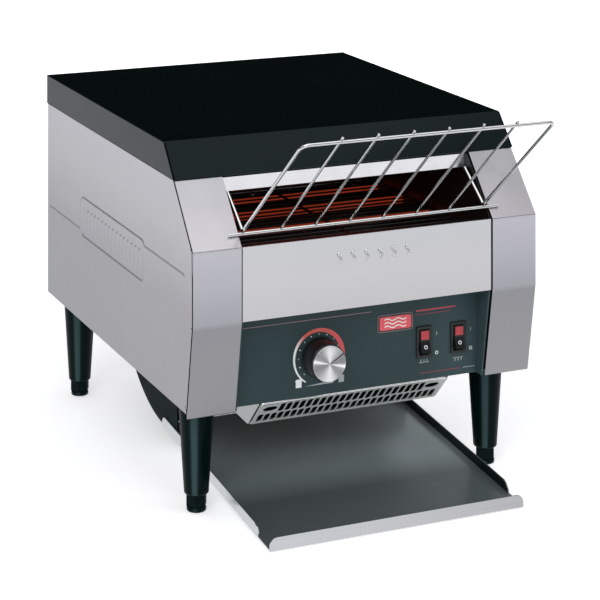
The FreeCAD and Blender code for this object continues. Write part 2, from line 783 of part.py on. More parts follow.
# ---------------------------------------------------------------- chute and tray
def toast_chute():
    """Curved floor, upright back, two cheeks and tabs out to the chamber walls."""
    left, wide, radius = dim.chute_left, dim.chute_wide, dim.chute_radius
    right = left + wide
    axis_y, axis_z = dim.chute_cy, dim.chute_cz
    # (y, z) corners that trim each round cheek
    cheek_outline = [(327.0, 31.0), (368.5, 27.4), (368.5, 20.0), (512.0, 20.0),
                     (512.0, 173.6), (395.0, 173.6), (395.0, 118.0), (327.0, 54.0)]
    quadrant = 160
    ring = cut("ChuteArcRing", cylinder("ChuteOuter", left, axis_y, axis_z, radius, wide),
               [bore("ChuteInner", left, axis_y, axis_z, radius - GAUGE, wide)])
    parts = [
        common("ChuteArc", ring, box("ChuteQuadrant", left - 1, axis_y + 8.5,
                                     axis_z - quadrant, wide + 2, quadrant, quadrant)),
        box("ChuteBack", left, axis_y + radius - GAUGE, axis_z, wide, GAUGE, 88.0)]
    for i, x in enumerate((left, right - GAUGE)):
        parts.append(common("Cheek%d" % i,
                            cylinder("CheekDisc%d" % i, x, axis_y, axis_z, radius, GAUGE),
                            profile("CheekShape%d" % i, cheek_outline, x, GAUGE)))
        parts.append(box("CheekUp%d" % i, x, 440.0, axis_z, GAUGE, 68.0, 40.0))
    left_wall = dim.wall_left + dim.wall_gauge
    for i, (x, tab_wide) in enumerate(((left_wall, left - left_wall),
                                       (right, dim.chamber_right - right))):
        parts.append(box("ChuteTab%d" % i, x, 455.0, 180.0, tab_wide, 30.0, 20.0))
    return fuse("ToastChute", parts)


def toast_tray():
    """Plate rising to the rear, a front lip and side flanges with rounded ends."""
    left, wide, gauge = dim.tray_left, dim.tray_wide, dim.tray_gauge
    right = left + wide
    front, rear = dim.tray_front, dim.tray_rear
    front_z = measure(1.0)
    rear_z = front_z + dim.tray_rise
    slope = dim.tray_rise / (rear - front)
    tray = new_body("ToastTray")
    pad(tray, "TrayPlate", "YZ_Plane", [[
        (front, front_z), (rear, rear_z), (rear, rear_z + gauge), (front, front_z + gauge)]],
        wide, left)

    # rounded upper corners of the lip: (inset from the side, drop from the top)
    lip_corner = [(7.0, 0), (4.6, 0.5), (2.4, 1.9), (0.8, 4.0), (0, 6.5)]
    lip_top = front_z + dim.tray_lip
    lip = [(left, front_z), (right, front_z)]
    lip += [(right - inset, lip_top - drop) for inset, drop in reversed(lip_corner)]
    lip += [(left + inset, lip_top - drop) for inset, drop in lip_corner]
    pad(tray, "TrayLip", "XZ_Plane", [lip], gauge, -front - gauge)

    start = 115.0
    start_z = front_z + slope * (start - front)
    high = dim.flange_high
    flange = [
        (start, start_z), (rear, rear_z), (rear, rear_z + 4.0), (rear - 2.0, rear_z + 8.0),
        (rear - 6.0, rear_z + high - slope * 6), (start + 9.0, start_z + high + slope * 9),
        (start + 4.5, start_z + high - 1.5), (start + 1.5, start_z + high - 4.5),
        (start, start_z + 4.0)]
    for i, x in enumerate((left, right - gauge)):
        pad(tray, "TrayFlange%d" % i, "YZ_Plane", [flange], gauge, x)
    return tray


# ---------------------------------------------------------------- legs and feet
def leg(corner, x, y):
    """Leg widening upward, with a blind bore for the foot's stud."""
    bore_radius, bore_top = dim.stud_radius + dim.run_clearance, 60.0
    foot, top = dim.leg_foot_radius, dim.leg_top_radius
    low_z, high_z = dim.leg_base_z, dim.side_bottom
    return turned("Leg_" + corner, [
        (bore_radius, low_z), (foot - 0.6, low_z), (foot, low_z + 0.8),
        (top - 0.4, high_z - 5.0), (top, high_z - 4.0), (top, high_z - 0.4),
        (top - 0.4, high_z), (0, high_z), (0, bore_top), (bore_radius, bore_top)], x, y, 0)


def foot(corner, x, y):
    """Round foot pad with a hexagon above it and a stud up into the leg."""
    hexagon = primitive("Prism", "FootHex_" + corner, x, y, 5.4, UNTURNED,
                        Circumradius=dim.hex_flats / math.sqrt(3), Height=11.0)
    hexagon.Polygon = 6
    stud = turned("FootStud_" + corner, [
        (0, 0), (8.6, 0), (9.4, 0.8), (9.4, 3.6), (8.2, 5.4), (7.4, 16.4),
        (dim.stud_radius, 16.6), (dim.stud_radius, 54.2), (dim.stud_radius - 0.8, 55.0),
        (0, 55.0)], x, y, 0)
    return fuse("Foot_" + corner, [hexagon, stud])


# ---------------------------------------------------------------- bent wires
def middle_point(x, y, z):
    """Vector for x from the middle of the body and y and z of the layout."""
    return FreeCAD.Vector(*[measure(value).number for value in (x, y - dim.origin_y, z)])


def bent_wire(points, bends, radius):
    """Round wire along a polyline; bends holds the radius at each inner corner."""
    edges = []
    last = points[0]
    for before, corner, after, bend in zip(points, points[1:], points[2:], bends):
        back = (before - corner).normalize()
        ahead = (after - corner).normalize()
        inward = (back + ahead).normalize()
        half = back.getAngle(ahead) / 2
        reach = bend / math.tan(half)
        bend_start, bend_end = corner + back * reach, corner + ahead * reach
        bend_middle = corner + inward * (bend / math.sin(half) - bend)
        edges.append(Part.makeLine(last, bend_start))
        edges.append(Part.Arc(bend_start, bend_middle, bend_end).toShape())
        last = bend_end
    edges.append(Part.makeLine(last, points[-1]))
    ring = Part.Wire([Part.makeCircle(radius, points[0], points[1] - points[0])])
    return Part.Wire(edges).makePipeShell([ring], True, False)


def feed_rack():
    """Bent frame leaning forward, a cross rod and six thin rods up its slope."""
    half, rod_half = dim.rack_half.number, dim.rack_rod_half.number
    wire, thin = dim.rack_wire.number, dim.rack_thin.number
    rod_pitch = 36
    # (y, z) of one side: leg end, bend behind the cross rod, top corner
    side = [(dim.rack_leg_y, dim.rack_leg_z),
            (dim.rack_rod_y + 3.3, dim.rack_rod_z + 1.6),
            (dim.rack_top_y, dim.rack_top_z)]
    frame = bent_wire([middle_point(-half, y, z) for y, z in side]
                      + [middle_point(half, y, z) for y, z in reversed(side)],
                      [2.4, 8.0, 8.0, 2.4], wire)
    rods = [Part.makeCylinder(wire, 2 * rod_half,
                              middle_point(-rod_half, dim.rack_rod_y, dim.rack_rod_z), X_AXIS)]
    start = middle_point(0, dim.rack_rod_y, dim.rack_rod_z + 0.4)
    top = middle_point(0, dim.rack_top_y, dim.rack_top_z)
    along = (top - start).normalize()
    lift = along.cross(X_AXIS) * (wire + thin - 0.5)
    start = start - along * 2.2 + lift
    span = top + along * 3.2 + lift - start
    for i in range(6):
        foot_point = start + X_AXIS * (rod_pitch * (i - 2.5))
        rods.append(Part.makeCylinder(thin, span.Length, foot_point, span))
    return feature("FeedRack", frame.multiFuse(rods))


def wiring_harness():
    """Four wires forward from the terminal block, bent up at the front."""
    wires = []
    for i in range(4):
        x = 24.0 + 3.6 * i - dim.origin_x
        wires.append(bent_wire([middle_point(x, 466.0, 112.0),
                                middle_point(x, 256.0 + 3.0 * i, 112.0),
                                middle_point(x, 200.0, 150.0 + 3.0 * i)], [12.0], 1.1))
    return feature("WiringHarness", Part.makeCompound(wires))


# ---------------------------------------------------------------- fan and terminal block
FAN_Y = dim.rear_y - GAUGE - 22.2       # front of the fan frame


def fan_cylinder(name, ahead, radius, length):
    """Cylinder on the fan's axis, starting behind the frame's front by ahead."""
    return cylinder(name, dim.fan_x, FAN_Y + ahead, dim.fan_z, radius, length, ALONG_Y)


def fan_frame():
    """Square frame with a round duct, and a boss and pin carried by crossed arms."""
    x, z, side = dim.fan_x, dim.fan_z, dim.fan_side
    arm_half, arm_wide, arm_deep = 37, 4.0, 3.0
    ring = cut("FanRing",
               box("FanSquare", x - side / 2, FAN_Y, z - side / 2, side, 22.0, side),
               [fan_cylinder("FanDuct", -1, 36.0, 24.0)])
    return fuse("FanFrame", [
        ring,
        fan_cylinder("FanBoss", 0, 14.0, 4.0),
        fan_cylinder("FanPin", 0, 2.0, 19.0),
        box("FanArmA", x - arm_half, FAN_Y, z - arm_wide / 2, 2 * arm_half, arm_deep, arm_wide),
        box("FanArmB", x - arm_wide / 2, FAN_Y, z - arm_half, arm_wide, arm_deep, 2 * arm_half)])


def fan_rotor():
    """Hub with seven pitched blades, trimmed round and bored for the pin."""
    blade_count, pitch_angle = 7, 40.0
    parts = [fan_cylinder("FanHub", 5.0, 15.0, 13.0)]
    for k in range(blade_count):
        turn = FreeCAD.Rotation(FreeCAD.Vector(0, 1, 0), 360.0 * k / blade_count)
        turn = turn.multiply(FreeCAD.Rotation(X_AXIS, pitch_angle))
        shift = turn.multVec(FreeCAD.Vector(13.5, 0, -6.0))
        parts.append(box("FanBlade%d" % k, dim.fan_x + shift.x, FAN_Y + 10.5 + shift.y,
                         dim.fan_z + shift.z, 20.0, 1.6, 15.0, turn))
    trimmed = common("FanRotorBody", fuse("FanRotorRaw", parts),
                     fan_cylinder("FanLimit", 4.6, 33.5, 14.2))
    return cut("FanRotor", trimmed, [
        fan_cylinder("FanBore", 4.5, dim.run_clearance + 2.0, 14.8)])


def terminal_block():
    """Block with five slots across its top."""
    slots = [box("TerminalSlot%d" % i, 19.0, 475.0 + 11 * i, 117.0, 20.0, 7.0, 10.0)
             for i in range(5)]
    return cut("TerminalBlock", box("TerminalBody", 20.0, 470.0, 108.6, 18.0, 60.0, 16.0), slots)


# ---------------------------------------------------------------- cord and rear screws
# path of the cord: (x from the middle, distance behind the rear panel, z)
CORD_PATH = [
    (CORD_X - dim.origin_x, -24.0, CORD_Z), (CORD_X - dim.origin_x, 26.0, CORD_Z),
    (92.0, 27.5, 158.0), (92.0, 30.0, 290.0), (-92.0, 32.5, 290.0), (-92.0, 35.0, 160.0),
    (92.0, 37.5, 162.0), (92.0, 40.0, 286.0), (-40.0, 42.5, 286.0), (-40.0, 44.454, 246.0)]
CORD_POINTS = [middle_point(x, dim.rear_y + behind, z) for x, behind, z in CORD_PATH]


def gland_cylinder(name, behind, radius, length):
    """Cylinder on the cord's axis, starting behind the rear panel by behind."""
    return cylinder(name, CORD_X, dim.rear_y + behind, CORD_Z, radius, length, ALONG_Y)


def cord_gland():
    body = fuse("GlandBody", [
        gland_cylinder("GlandNeck", -8, 8.0, 12.0),
        gland_cylinder("GlandFlange", 0, 11.0, 4.0),
        gland_cylinder("GlandNose", 4, 7.5, 9.0)])
    return cut("CordGland", body, [
        gland_cylinder("GlandBore", -10, dim.cord_radius + 0.4, 30.0)])


def power_cord():
    """Cord out of the gland and up into a coil behind the rear panel."""
    return feature("PowerCord", bent_wire(CORD_POINTS, [14.0] + [48.0] * 6 + [20.0],
                                          dim.cord_radius.number))


def power_plug():
    """Plug at the free end of the cord: two flat pins and one round pin."""
    grip_radius, cone_length, grip_length = 13.0, 22.0, 12.0
    pin_start = 33.5
    shape = Part.makeCone(6.5, grip_radius, cone_length).fuse(
        Part.makeCylinder(grip_radius, grip_length, FreeCAD.Vector(0, 0, cone_length)))
    for x in (-6.3, 6.3):
        shape = shape.fuse(Part.makeBox(1.6, 6.4, 17.0, FreeCAD.Vector(x - 0.8, -4.7, pin_start)))
    shape = shape.fuse(Part.makeCylinder(2.4, 19.0, FreeCAD.Vector(0, 6.0, pin_start)))
    plug = feature("PowerPlug", shape)
    rearward = FreeCAD.Vector(0, 1, 0)
    along = (CORD_POINTS[-1] - CORD_POINTS[-2]).normalize()
    across = along.cross(rearward).normalize()
    plug.Placement = FreeCAD.Placement(CORD_POINTS[-1] + along * 0.05,
                                       FreeCAD.Rotation(across, rearward, along, "ZXY"))
    return plug


def panel_screws():
    """Cross-slotted heads of the screws that hold the rear panel."""
    # (x, z) of each screw
    spots = [(9, 120), (9, 215), (9, 310), (359, 120), (359, 215), (359, 310),
             (120, 112.5), (248, 112.5)]
    slot_long, slot_wide = 4, 0.8
    slot_y = dim.rear_y + 1.0
    screws = []
    for i, (x, z) in enumerate(spots):
        head = primitive("Cone", "ScrewHead%d" % i, x, dim.rear_y, z, ALONG_Y,
                         Radius1=3.8, Radius2=2.9, Height=2.0)
        screws.append(cut("Screw%d" % i, head, [
            box("ScrewSlot%s%d" % (tag, i), x - wide / 2, slot_y, z - high / 2, wide, 3, high)
            for tag, wide, high in (("A", slot_long, slot_wide), ("B", slot_wide, slot_long))]))
    return compound("PanelScrews", screws)


# ---------------------------------------------------------------- all pieces by label
pieces = {
    "left_front_strip": front_strip("LeftFrontStrip", dim.seam_gap),
    "right_front_strip": front_strip("RightFrontStrip",
                                     dim.body_width - dim.seam_gap - dim.strip_width),
    "left_side_panel": side_panel("LeftSidePanel", 0),
    "right_side_panel": side_panel("RightSidePanel", dim.body_width - GAUGE),
    "front_panel": front_panel(),
    "top_cover": top_cover(),
    "rear_panel": rear_panel(),
    "base_pan": base_pan(),
    "control_panel": control_panel(),
    "speed_control": speed_control(),
    "control_shaft": control_shaft(),
    "speed_knob": speed_knob(),
    "knob_cap": knob_cap(),
}
for tag, x, heat in (("A", dim.switch_a_x, "top_heat"), ("B", dim.switch_b_x, "bottom_heat")):
    pieces["switch_housing_" + heat] = switch_housing(tag, x)
    pieces["rocker_" + heat] = rocker(tag, x)
    pieces["rocker_lens_" + heat] = rocker_lens(tag, x)
pieces.update({
    "vent_grille": vent_grille(),
    "vent_box": vent_box(),
    "left_chamber_wall": chamber_wall("LeftChamberWall", dim.wall_left),
    "right_chamber_wall": chamber_wall("RightChamberWall", dim.chamber_right),
    "chamber_rear_wall": chamber_rear_wall(),
    "upper_baffle": upper_baffle(),
    "top_reflector": top_reflector(),
    "insulation_blanket": insulation_blanket(),
    "heat_shield": heat_shield(),
    "upper_elements": elements("Upper", UPPER_ELEMENT_YS, dim.upper_element_z),
    "lower_elements": elements("Lower", LOWER_ELEMENT_YS, dim.belt_z),
    "conveyor_belt": conveyor_belt(),
    "drive_shaft": axle("DriveShaft", dim.belt_rear_y, 286.0),
    "idler_shaft": axle("IdlerShaft", dim.belt_front_y, 280.0),
    "drive_rollers": rollers("DriveRollers", dim.belt_rear_y),
    "idler_rollers": rollers("IdlerRollers", dim.belt_front_y),
    "shaft_bushings": shaft_bushings(),
    "driven_sprocket": sprocket("DrivenSprocket", dim.belt_z, dim.driven_radius, 20,
                                dim.axle_radius),
    "motor_sprocket": motor_sprocket(),
    "drive_chain": drive_chain(),
    "gearmotor": gearmotor(),
    "motor_bracket": motor_bracket(),
    "toast_chute": toast_chute(),
    "toast_tray": toast_tray(),
})
for end, y in (("front", dim.leg_front), ("rear", dim.leg_rear)):
    for hand, x in (("left", dim.leg_left), ("right", dim.leg_right)):
        corner = end + "_" + hand
        pieces["leg_" + corner] = leg(corner, x, y)
        pieces["foot_" + corner] = foot(corner, x, y)
pieces.update({
    "feed_rack": feed_rack(),
    "fan_frame": fan_frame(),
    "fan_rotor": fan_rotor(),
    "terminal_block": terminal_block(),
    "wiring_harness": wiring_harness(),
    "cord_gland": cord_gland(),
    "power_cord": power_cord(),
    "power_plug": power_plug(),
    "panel_screws": panel_screws(),
})
for label, item in pieces.items():
    item.Label = label

# ---------------------------------------------------------------- checks and export
doc.recompute()
failed = [item.Name for item in doc.Objects
          if any("Invalid" in str(state) or "Error" in str(state) for state in item.State)]
failed += [label for label, item in pieces.items()
           if item.Shape.isNull() or not item.Shape.isValid() or item.Shape.Volume <= 0]
if failed:
    raise RuntimeError("failed objects: %s" % failed)
os.makedirs("parts", exist_ok=True)
for label, item in pieces.items():
    item.Shape.exportStep("parts/%s.step" % label)
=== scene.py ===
import bpy
import bmesh
import math
from mathutils import Matrix, Vector


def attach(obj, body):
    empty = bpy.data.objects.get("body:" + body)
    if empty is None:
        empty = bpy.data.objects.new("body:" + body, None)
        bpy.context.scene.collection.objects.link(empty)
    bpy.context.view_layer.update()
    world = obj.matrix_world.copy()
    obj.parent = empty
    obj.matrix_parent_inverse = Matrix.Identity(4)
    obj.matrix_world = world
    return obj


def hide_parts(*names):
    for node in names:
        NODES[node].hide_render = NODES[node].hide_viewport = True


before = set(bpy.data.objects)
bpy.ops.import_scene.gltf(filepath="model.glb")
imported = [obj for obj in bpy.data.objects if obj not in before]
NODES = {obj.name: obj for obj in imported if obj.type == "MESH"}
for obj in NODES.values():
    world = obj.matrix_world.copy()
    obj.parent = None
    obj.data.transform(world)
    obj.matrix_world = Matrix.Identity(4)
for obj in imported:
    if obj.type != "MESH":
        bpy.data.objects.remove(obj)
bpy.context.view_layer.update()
OY = 339.4


def L(x, y, z):
    """Layout millimetres (X from the left side panel, Y from 150 mm in front of
    the front facet, Z over the counter) to the row frame in metres."""
    return Vector(((x - 184.0) / 1000.0, (y - OY) / 1000.0, z / 1000.0))


# ------------------------------------------------------------------ materials
def new_mat(name):
    m = bpy.data.materials.new(name)
    m.use_nodes = True
    nt = m.node_tree
    nt.nodes.clear()
    out = nt.nodes.new("ShaderNodeOutputMaterial")
    bs = nt.nodes.new("ShaderNodeBsdfPrincipled")
    nt.links.new(bs.outputs["BSDF"], out.inputs["Surface"])
    return m, nt, bs


def coords(nt, scale, rot=(0, 0, 0)):
    tc = nt.nodes.new("ShaderNodeTexCoord")
    mp = nt.nodes.new("ShaderNodeMapping")
    mp.inputs["Scale"].default_value = scale
    mp.inputs["Rotation"].default_value = rot
    nt.links.new(tc.outputs["Object"], mp.inputs["Vector"])
    return mp.outputs["Vector"]


def noise(nt, vec, scale=1.0, detail=4.0, rough=0.6):
    n = nt.nodes.new("ShaderNodeTexNoise")
    n.inputs["Scale"].default_value = scale
    n.inputs["Detail"].default_value = detail
    n.inputs["Roughness"].default_value = rough
    nt.links.new(vec, n.inputs["Vector"])
    return n.outputs["Fac"]


def remap(nt, fac, lo, hi, a=0.0, b=1.0):
    r = nt.nodes.new("ShaderNodeMapRange")
    r.inputs["From Min"].default_value = a
    r.inputs["From Max"].default_value = b
    r.inputs["To Min"].default_value = lo
    r.inputs["To Max"].default_value = hi
    nt.links.new(fac, r.inputs["Value"])
    return r.outputs["Result"]


def ramp(nt, fac, stops):
    r = nt.nodes.new("ShaderNodeValToRGB")
    el = r.color_ramp.elements
    while len(el) > 1:
        el.remove(el[-1])
    el[0].position, el[0].color = stops[0][0], tuple(stops[0][1]) + (1,)
    for p, c in stops[1:]:
        e = el.new(p)
        e.color = tuple(c) + (1,)
    nt.links.new(fac, r.inputs["Fac"])
    return r.outputs["Color"]


def mul(nt, a, b, fac=1.0, kind="MULTIPLY"):
    m = nt.nodes.new("ShaderNodeMix")
    m.data_type = "RGBA"
    m.blend_type = kind
    m.inputs["Factor"].default_value = fac
    for i, v in ((6, a), (7, b)):
        if isinstance(v, (tuple, list)):
            m.inputs[i].default_value = tuple(v) + (1,) if len(v) == 3 else v
        else:
            nt.links.new(v, m.inputs[i])
    return m.outputs[2]


def bump(nt, bs, height, strength, dist=0.0005, prev=None):
    b = nt.nodes.new("ShaderNodeBump")
    b.inputs["Strength"].default_value = strength
    b.inputs["Distance"].default_value = dist
    nt.links.new(height, b.inputs["Height"])
    if prev is not None:
        nt.links.new(prev, b.inputs["Normal"])
    nt.links.new(b.outputs["Normal"], bs.inputs["Normal"])
    return b.outputs["Normal"]


def height_of(nt, axis="Z"):
    tc = nt.nodes.new("ShaderNodeTexCoord")
    sp = nt.nodes.new("ShaderNodeSeparateXYZ")
    nt.links.new(tc.outputs["Object"], sp.inputs["Vector"])
    return sp.outputs[axis]


def steel(name, color, rough=0.3, grain="X", painted_shade_grad=None, grain_amt=0.05, metallic=1.0, wear=0.012, relief=0.05):
    """Brushed stainless sheet: fine grain along one axis, faint wipe marks, and an optional ramp along one axis that
    paints light and shade into the colour.
    """
    m, nt, bs = new_mat(name)
    s = {"X": (6, 1800, 1800), "Y": (1800, 6, 1800), "Z": (1800, 1800, 6)}[grain]
    g = noise(nt, coords(nt, s), 1.0, 3.0, 0.65)
    big = noise(nt, coords(nt, (5, 5, 7)), 1.0, 3.0, 0.5)
    smudge = noise(nt, coords(nt, (28, 28, 40)), 1.0, 5.0, 0.6)
    col = ramp(nt, remap(nt, g, 0, 1, 0.3, 0.7), [(0, [c * (1 - grain_amt) for c in color]), (1, [min(1, c * (1 + grain_amt)) for c in color])])
    tint = ramp(nt, big, [(0.3, (0.965, 0.965, 0.98)), (0.7, (1.0, 1.0, 1.0))])
    col = mul(nt, col, tint)
    # painted light and shade: the colour is multiplied by a ramp along one axis
    if painted_shade_grad:
        axis, a, b, stops = painted_shade_grad
        painted_tone = ramp(nt, remap(nt, height_of(nt, axis), 0, 1, a, b), stops)
        col = mul(nt, col, painted_tone)
    nt.links.new(col, bs.inputs["Base Color"])
    bs.inputs["Metallic"].default_value = metallic
    r = nt.nodes.new("ShaderNodeMath")
    r.operation = "ADD"
    nt.links.new(remap(nt, g, rough - 0.03, rough + 0.03, 0.3, 0.7), r.inputs[0])
    nt.links.new(remap(nt, smudge, -wear, wear, 0.3, 0.7), r.inputs[1])
    nt.links.new(r.outputs[0], bs.inputs["Roughness"])
    bs.inputs["Anisotropic"].default_value = 0.35
    bump(nt, bs, g, relief, 0.0002)
    return m


def plastic(name, color, rough=0.3, spec=0.5, tex=600.0, strength=0.05, coat=0.0, var=0.06):
    m, nt, bs = new_mat(name)
    n1 = noise(nt, coords(nt, (tex, tex, tex)), 1.0, 2.0, 0.5)
    n2 = noise(nt, coords(nt, (18, 18, 18)), 1.0, 4.0, 0.6)
    col = ramp(nt, n2, [(0.3, [c * (1 - var) for c in color]), (0.7, [min(1, c * (1 + var)) for c in color])])
    nt.links.new(col, bs.inputs["Base Color"])
    nt.links.new(remap(nt, n2, rough * 0.85, min(1, rough * 1.2), 0.3, 0.7), bs.inputs["Roughness"])
    bs.inputs["Specular IOR Level"].default_value = spec
    if coat:
        bs.inputs["Coat Weight"].default_value = coat
        bs.inputs["Coat Roughness"].default_value = 0.08
    bump(nt, bs, n1, strength, 0.0002)
    return m


def glow(name, color, emit, strength, rough=0.5):
    m, nt, bs = new_mat(name)
    n = noise(nt, coords(nt, (40, 120, 120)), 1.0, 4.0, 0.6)
    nt.links.new(ramp(nt, n, [(0.3, [c * 0.7 for c in color]), (0.7, color)]), bs.inputs["Base Color"])
    nt.links.new(ramp(nt, n, [(0.2, [c * 0.75 for c in emit]), (0.8, emit)]), bs.inputs["Emission Color"])
    bs.inputs["Emission Strength"].default_value = strength
    bs.inputs["Roughness"].default_value = rough
    bump(nt, bs, n, 0.1, 0.0003)
    return m


STEEL = (0.66, 0.655, 0.70)
M = {}
# painted shade: the side steel is darker towards the bottom and lighter at the top
M["side"] = steel("side_steel", (0.70, 0.695, 0.73), 0.34, "Y", grain_amt=0.025, relief=0.02, painted_shade_grad=
                  ("Z", 0.10, 0.325, [(0, (0.54, 0.545, 0.545)), (0.45, (0.59, 0.59, 0.595)), (0.8, (0.82, 0.82, 0.82)), (1, (0.88, 0.88, 0.885))]))
# painted light and shade: each facet of the front strips gets its own tone by height, the lowest facet darkest
M["strip"] = steel("strip_steel", (0.74, 0.735, 0.785), 0.30, "Z", grain_amt=0.02, relief=0.015, painted_shade_grad=
                   ("Z", 0.10, 0.335, [(0, (0.455, 0.455, 0.44)), (0.38, (0.42, 0.425, 0.42)), (0.40, (0.55, 0.56, 0.565)),
                                       (0.55, (0.68, 0.68, 0.69)), (0.68, (0.76, 0.76, 0.77)), (0.70, (0.68, 0.665, 0.66)), (1, (0.47, 0.475, 0.475))]))
# painted shade: the front panel is a little darker at the bottom than in the middle
M["front"] = steel("front_steel", (0.76, 0.755, 0.77), 0.30, "X", grain_amt=0.02, relief=0.012, painted_shade_grad=
                   ("Z", 0.19, 0.265, [(0, (0.80, 0.795, 0.79)), (0.5, (0.86, 0.86, 0.86)), (1, (0.83, 0.855, 0.86))]))
M["steel"] = steel("plain_steel", STEEL, 0.32, "X")
# painted shade: the tray steel is darkened towards its right end
M["tray"] = steel("tray_steel", (0.60, 0.605, 0.615), 0.24, "X", ("X", -0.133, 0.133, [(0, (1.0, 1.03, 1.04)), (0.4, (0.97, 0.98, 0.98)), (1, (0.80, 0.80, 0.80))]), wear=0.012)



def painted_shade_mix(nt, fac):
    return ramp(nt, fac, [(0, (1.0, 1.0, 1.0)), (1, (0.09, 0.14, 0.135))])


def tray_material():
    """Sheet tray: bright flanges and lip, a duller flat plate. The plate's colour carries painted light, lighter
    towards the back and towards the right, and the right flange's inner face carries painted shade.
    """
    m = M["tray"]
    nt = m.node_tree
    bs = [n for n in nt.nodes if n.type == "BSDF_PRINCIPLED"][0]
    ge = nt.nodes.new("ShaderNodeNewGeometry")
    sp = nt.nodes.new("ShaderNodeSeparateXYZ")
    nt.links.new(ge.outputs["True Normal"], sp.inputs[0])
    flat = remap(nt, sp.outputs["Z"], 0, 1, 0.75, 0.9)
    src = bs.inputs["Base Color"].links[0].from_socket
    mx = nt.nodes.new("ShaderNodeMix")
    mx.data_type = "RGBA"
    nt.links.new(flat, mx.inputs[0])
    nt.links.new(src, mx.inputs[6])
    # painted light: the plate is lightened towards the back, where the body shades it, and graded lighter towards the
    # right
    back = ramp(nt, remap(nt, height_of(nt, "Y"), 0, 1, -0.25, 0.03), [(0, (0.85, 0.85, 0.86)), (0.30, (1.0, 1.0, 1.0)), (0.45, (2.4, 2.4, 2.4)), (0.65, (4.0, 4.0, 4.0)), (1, (4.2, 4.2, 4.2))])
    plate = ramp(nt, remap(nt, height_of(nt, "X"), 0, 1, -0.13, 0.13), [(0, (0.098, 0.117, 0.119)), (0.5, (0.128, 0.150, 0.152)), (1, (0.150, 0.176, 0.178))])
    nt.links.new(mul(nt, plate, back), mx.inputs[7])
    # painted shade: the right flange's inner face is darkened in its colour
    inner = nt.nodes.new("ShaderNodeMath")
    inner.operation = "MULTIPLY"
    nt.links.new(remap(nt, sp.outputs["X"], 1, 0, -0.9, -0.6), inner.inputs[0])
    nt.links.new(remap(nt, height_of(nt, "X"), 0, 1, 0.08, 0.10), inner.inputs[1])
    nt.links.new(mul(nt, mx.outputs[2], painted_shade_mix(nt, inner.outputs[0])), bs.inputs["Base Color"])
    nt.links.new(remap(nt, flat, 1.0, 0.35), bs.inputs["Metallic"])


tray_material()
M["baffle"] = steel("baffle_steel", (0.86, 0.86, 0.88), 0.25, "X")
M["vent"] = steel("vent_steel", (0.62, 0.64, 0.64), 0.40, "X", metallic=0.3)
# painted shade: chamber walls, reflector, heat shield and motor bracket are steel darkened to near black for the shade
# inside the chamber
M["inner"] = steel("inner_steel", (0.050, 0.060, 0.058), 0.42, "Y")
M["lid"] = plastic("lid_enamel", (0.0008, 0.0036, 0.0038), 0.14, 0.12, tex=900.0, strength=0.02, var=0.1)
M["panel"] = plastic("panel_overlay", (0.030, 0.050, 0.054), 0.38, 0.15, tex=1600.0, strength=0.05)
M["black"] = plastic("black_moulding", (0.006, 0.008, 0.008), 0.32, 0.45, tex=1400.0, strength=0.06)
M["leg"] = plastic("leg_black", (0.0005, 0.0048, 0.0046), 0.20, 0.06, tex=900.0, strength=0.03)
M["foot"] = plastic("foot_black", (0.0008, 0.0050, 0.0048), 0.28, 0.06, tex=900.0, strength=0.05)
M["chute"] = plastic("chute_coating", (0.004, 0.012, 0.0115), 0.5, 0.03, tex=1200.0, strength=0.08)
# painted shade: the belt wire is darkened to near black for the shade inside the chamber
M["belt"] = steel("belt_wire", (0.042, 0.050, 0.050), 0.38, "X")
M["shaft"] = steel("machined_steel", (0.45, 0.45, 0.46), 0.3, "X")
M["brass"] = steel("bush_brass", (0.62, 0.45, 0.2), 0.35, "X")
M["alloy"] = steel("cast_alloy", (0.40, 0.40, 0.41), 0.5, "X", grain_amt=0.02)
M["matt"] = plastic("matt_black", (0.01, 0.01, 0.01), 0.6, 0.3, tex=500.0, strength=0.15)
M["rubber"] = plastic("cord_rubber", (0.010, 0.010, 0.011), 0.55, 0.35, tex=900.0, strength=0.25)
M["block"] = plastic("terminal_moulding", (0.5, 0.46, 0.34), 0.5, 0.4)
M["blanket"] = plastic("mineral_blanket", (0.62, 0.60, 0.55), 0.95, 0.1, tex=260.0, strength=0.8, var=0.12)
M["sheath"] = glow("hot_sheath", (0.16, 0.035, 0.02), (1.0, 0.10, 0.03), 0.21)
M["lens"] = glow("red_lens", (0.42, 0.03, 0.045), (0.80, 0.05, 0.07), 0.07, 0.22)

# painted highlight: legs and feet get a lighter upright streak in their colour where the normal faces one fixed
# direction
for k in ("leg", "foot"):
    nt_ = M[k].node_tree
    b_ = [n for n in nt_.nodes if n.type == "BSDF_PRINCIPLED"][0]
    g_ = nt_.nodes.new("ShaderNodeNewGeometry")
    d_ = nt_.nodes.new("ShaderNodeVectorMath")
    d_.operation = "DOT_PRODUCT"
    nt_.links.new(g_.outputs["Normal"], d_.inputs[0])
    d_.inputs[1].default_value = (-0.497, -0.868, 0.0)
    src_ = b_.inputs["Base Color"].links[0].from_socket
    mx_ = nt_.nodes.new("ShaderNodeMix")
    mx_.data_type = "RGBA"
    nt_.links.new(ramp(nt_, remap(nt_, d_.outputs["Value"], 0, 1, 0.90, 1.0), [(0.0, (0, 0, 0)), (0.62, (0.10, 0.10, 0.10)), (0.90, (1, 1, 1)), (1.0, (1, 1, 1))]), mx_.inputs[0])
    nt_.links.new(src_, mx_.inputs[6])
    mx_.inputs[7].default_value = (0.034, 0.062, 0.066, 1) if k == "leg" else (0.015, 0.030, 0.032, 1)
    nt_.links.new(mx_.outputs[2], b_.inputs["Base Color"])
for k in ("lid", "leg", "foot", "chute", "panel"):
    b_ = [n for n in M[k].node_tree.nodes if n.type == "BSDF_PRINCIPLED"][0]
    b_.inputs["Specular Tint"].default_value = (0.80, 0.97, 1.0, 1.0)


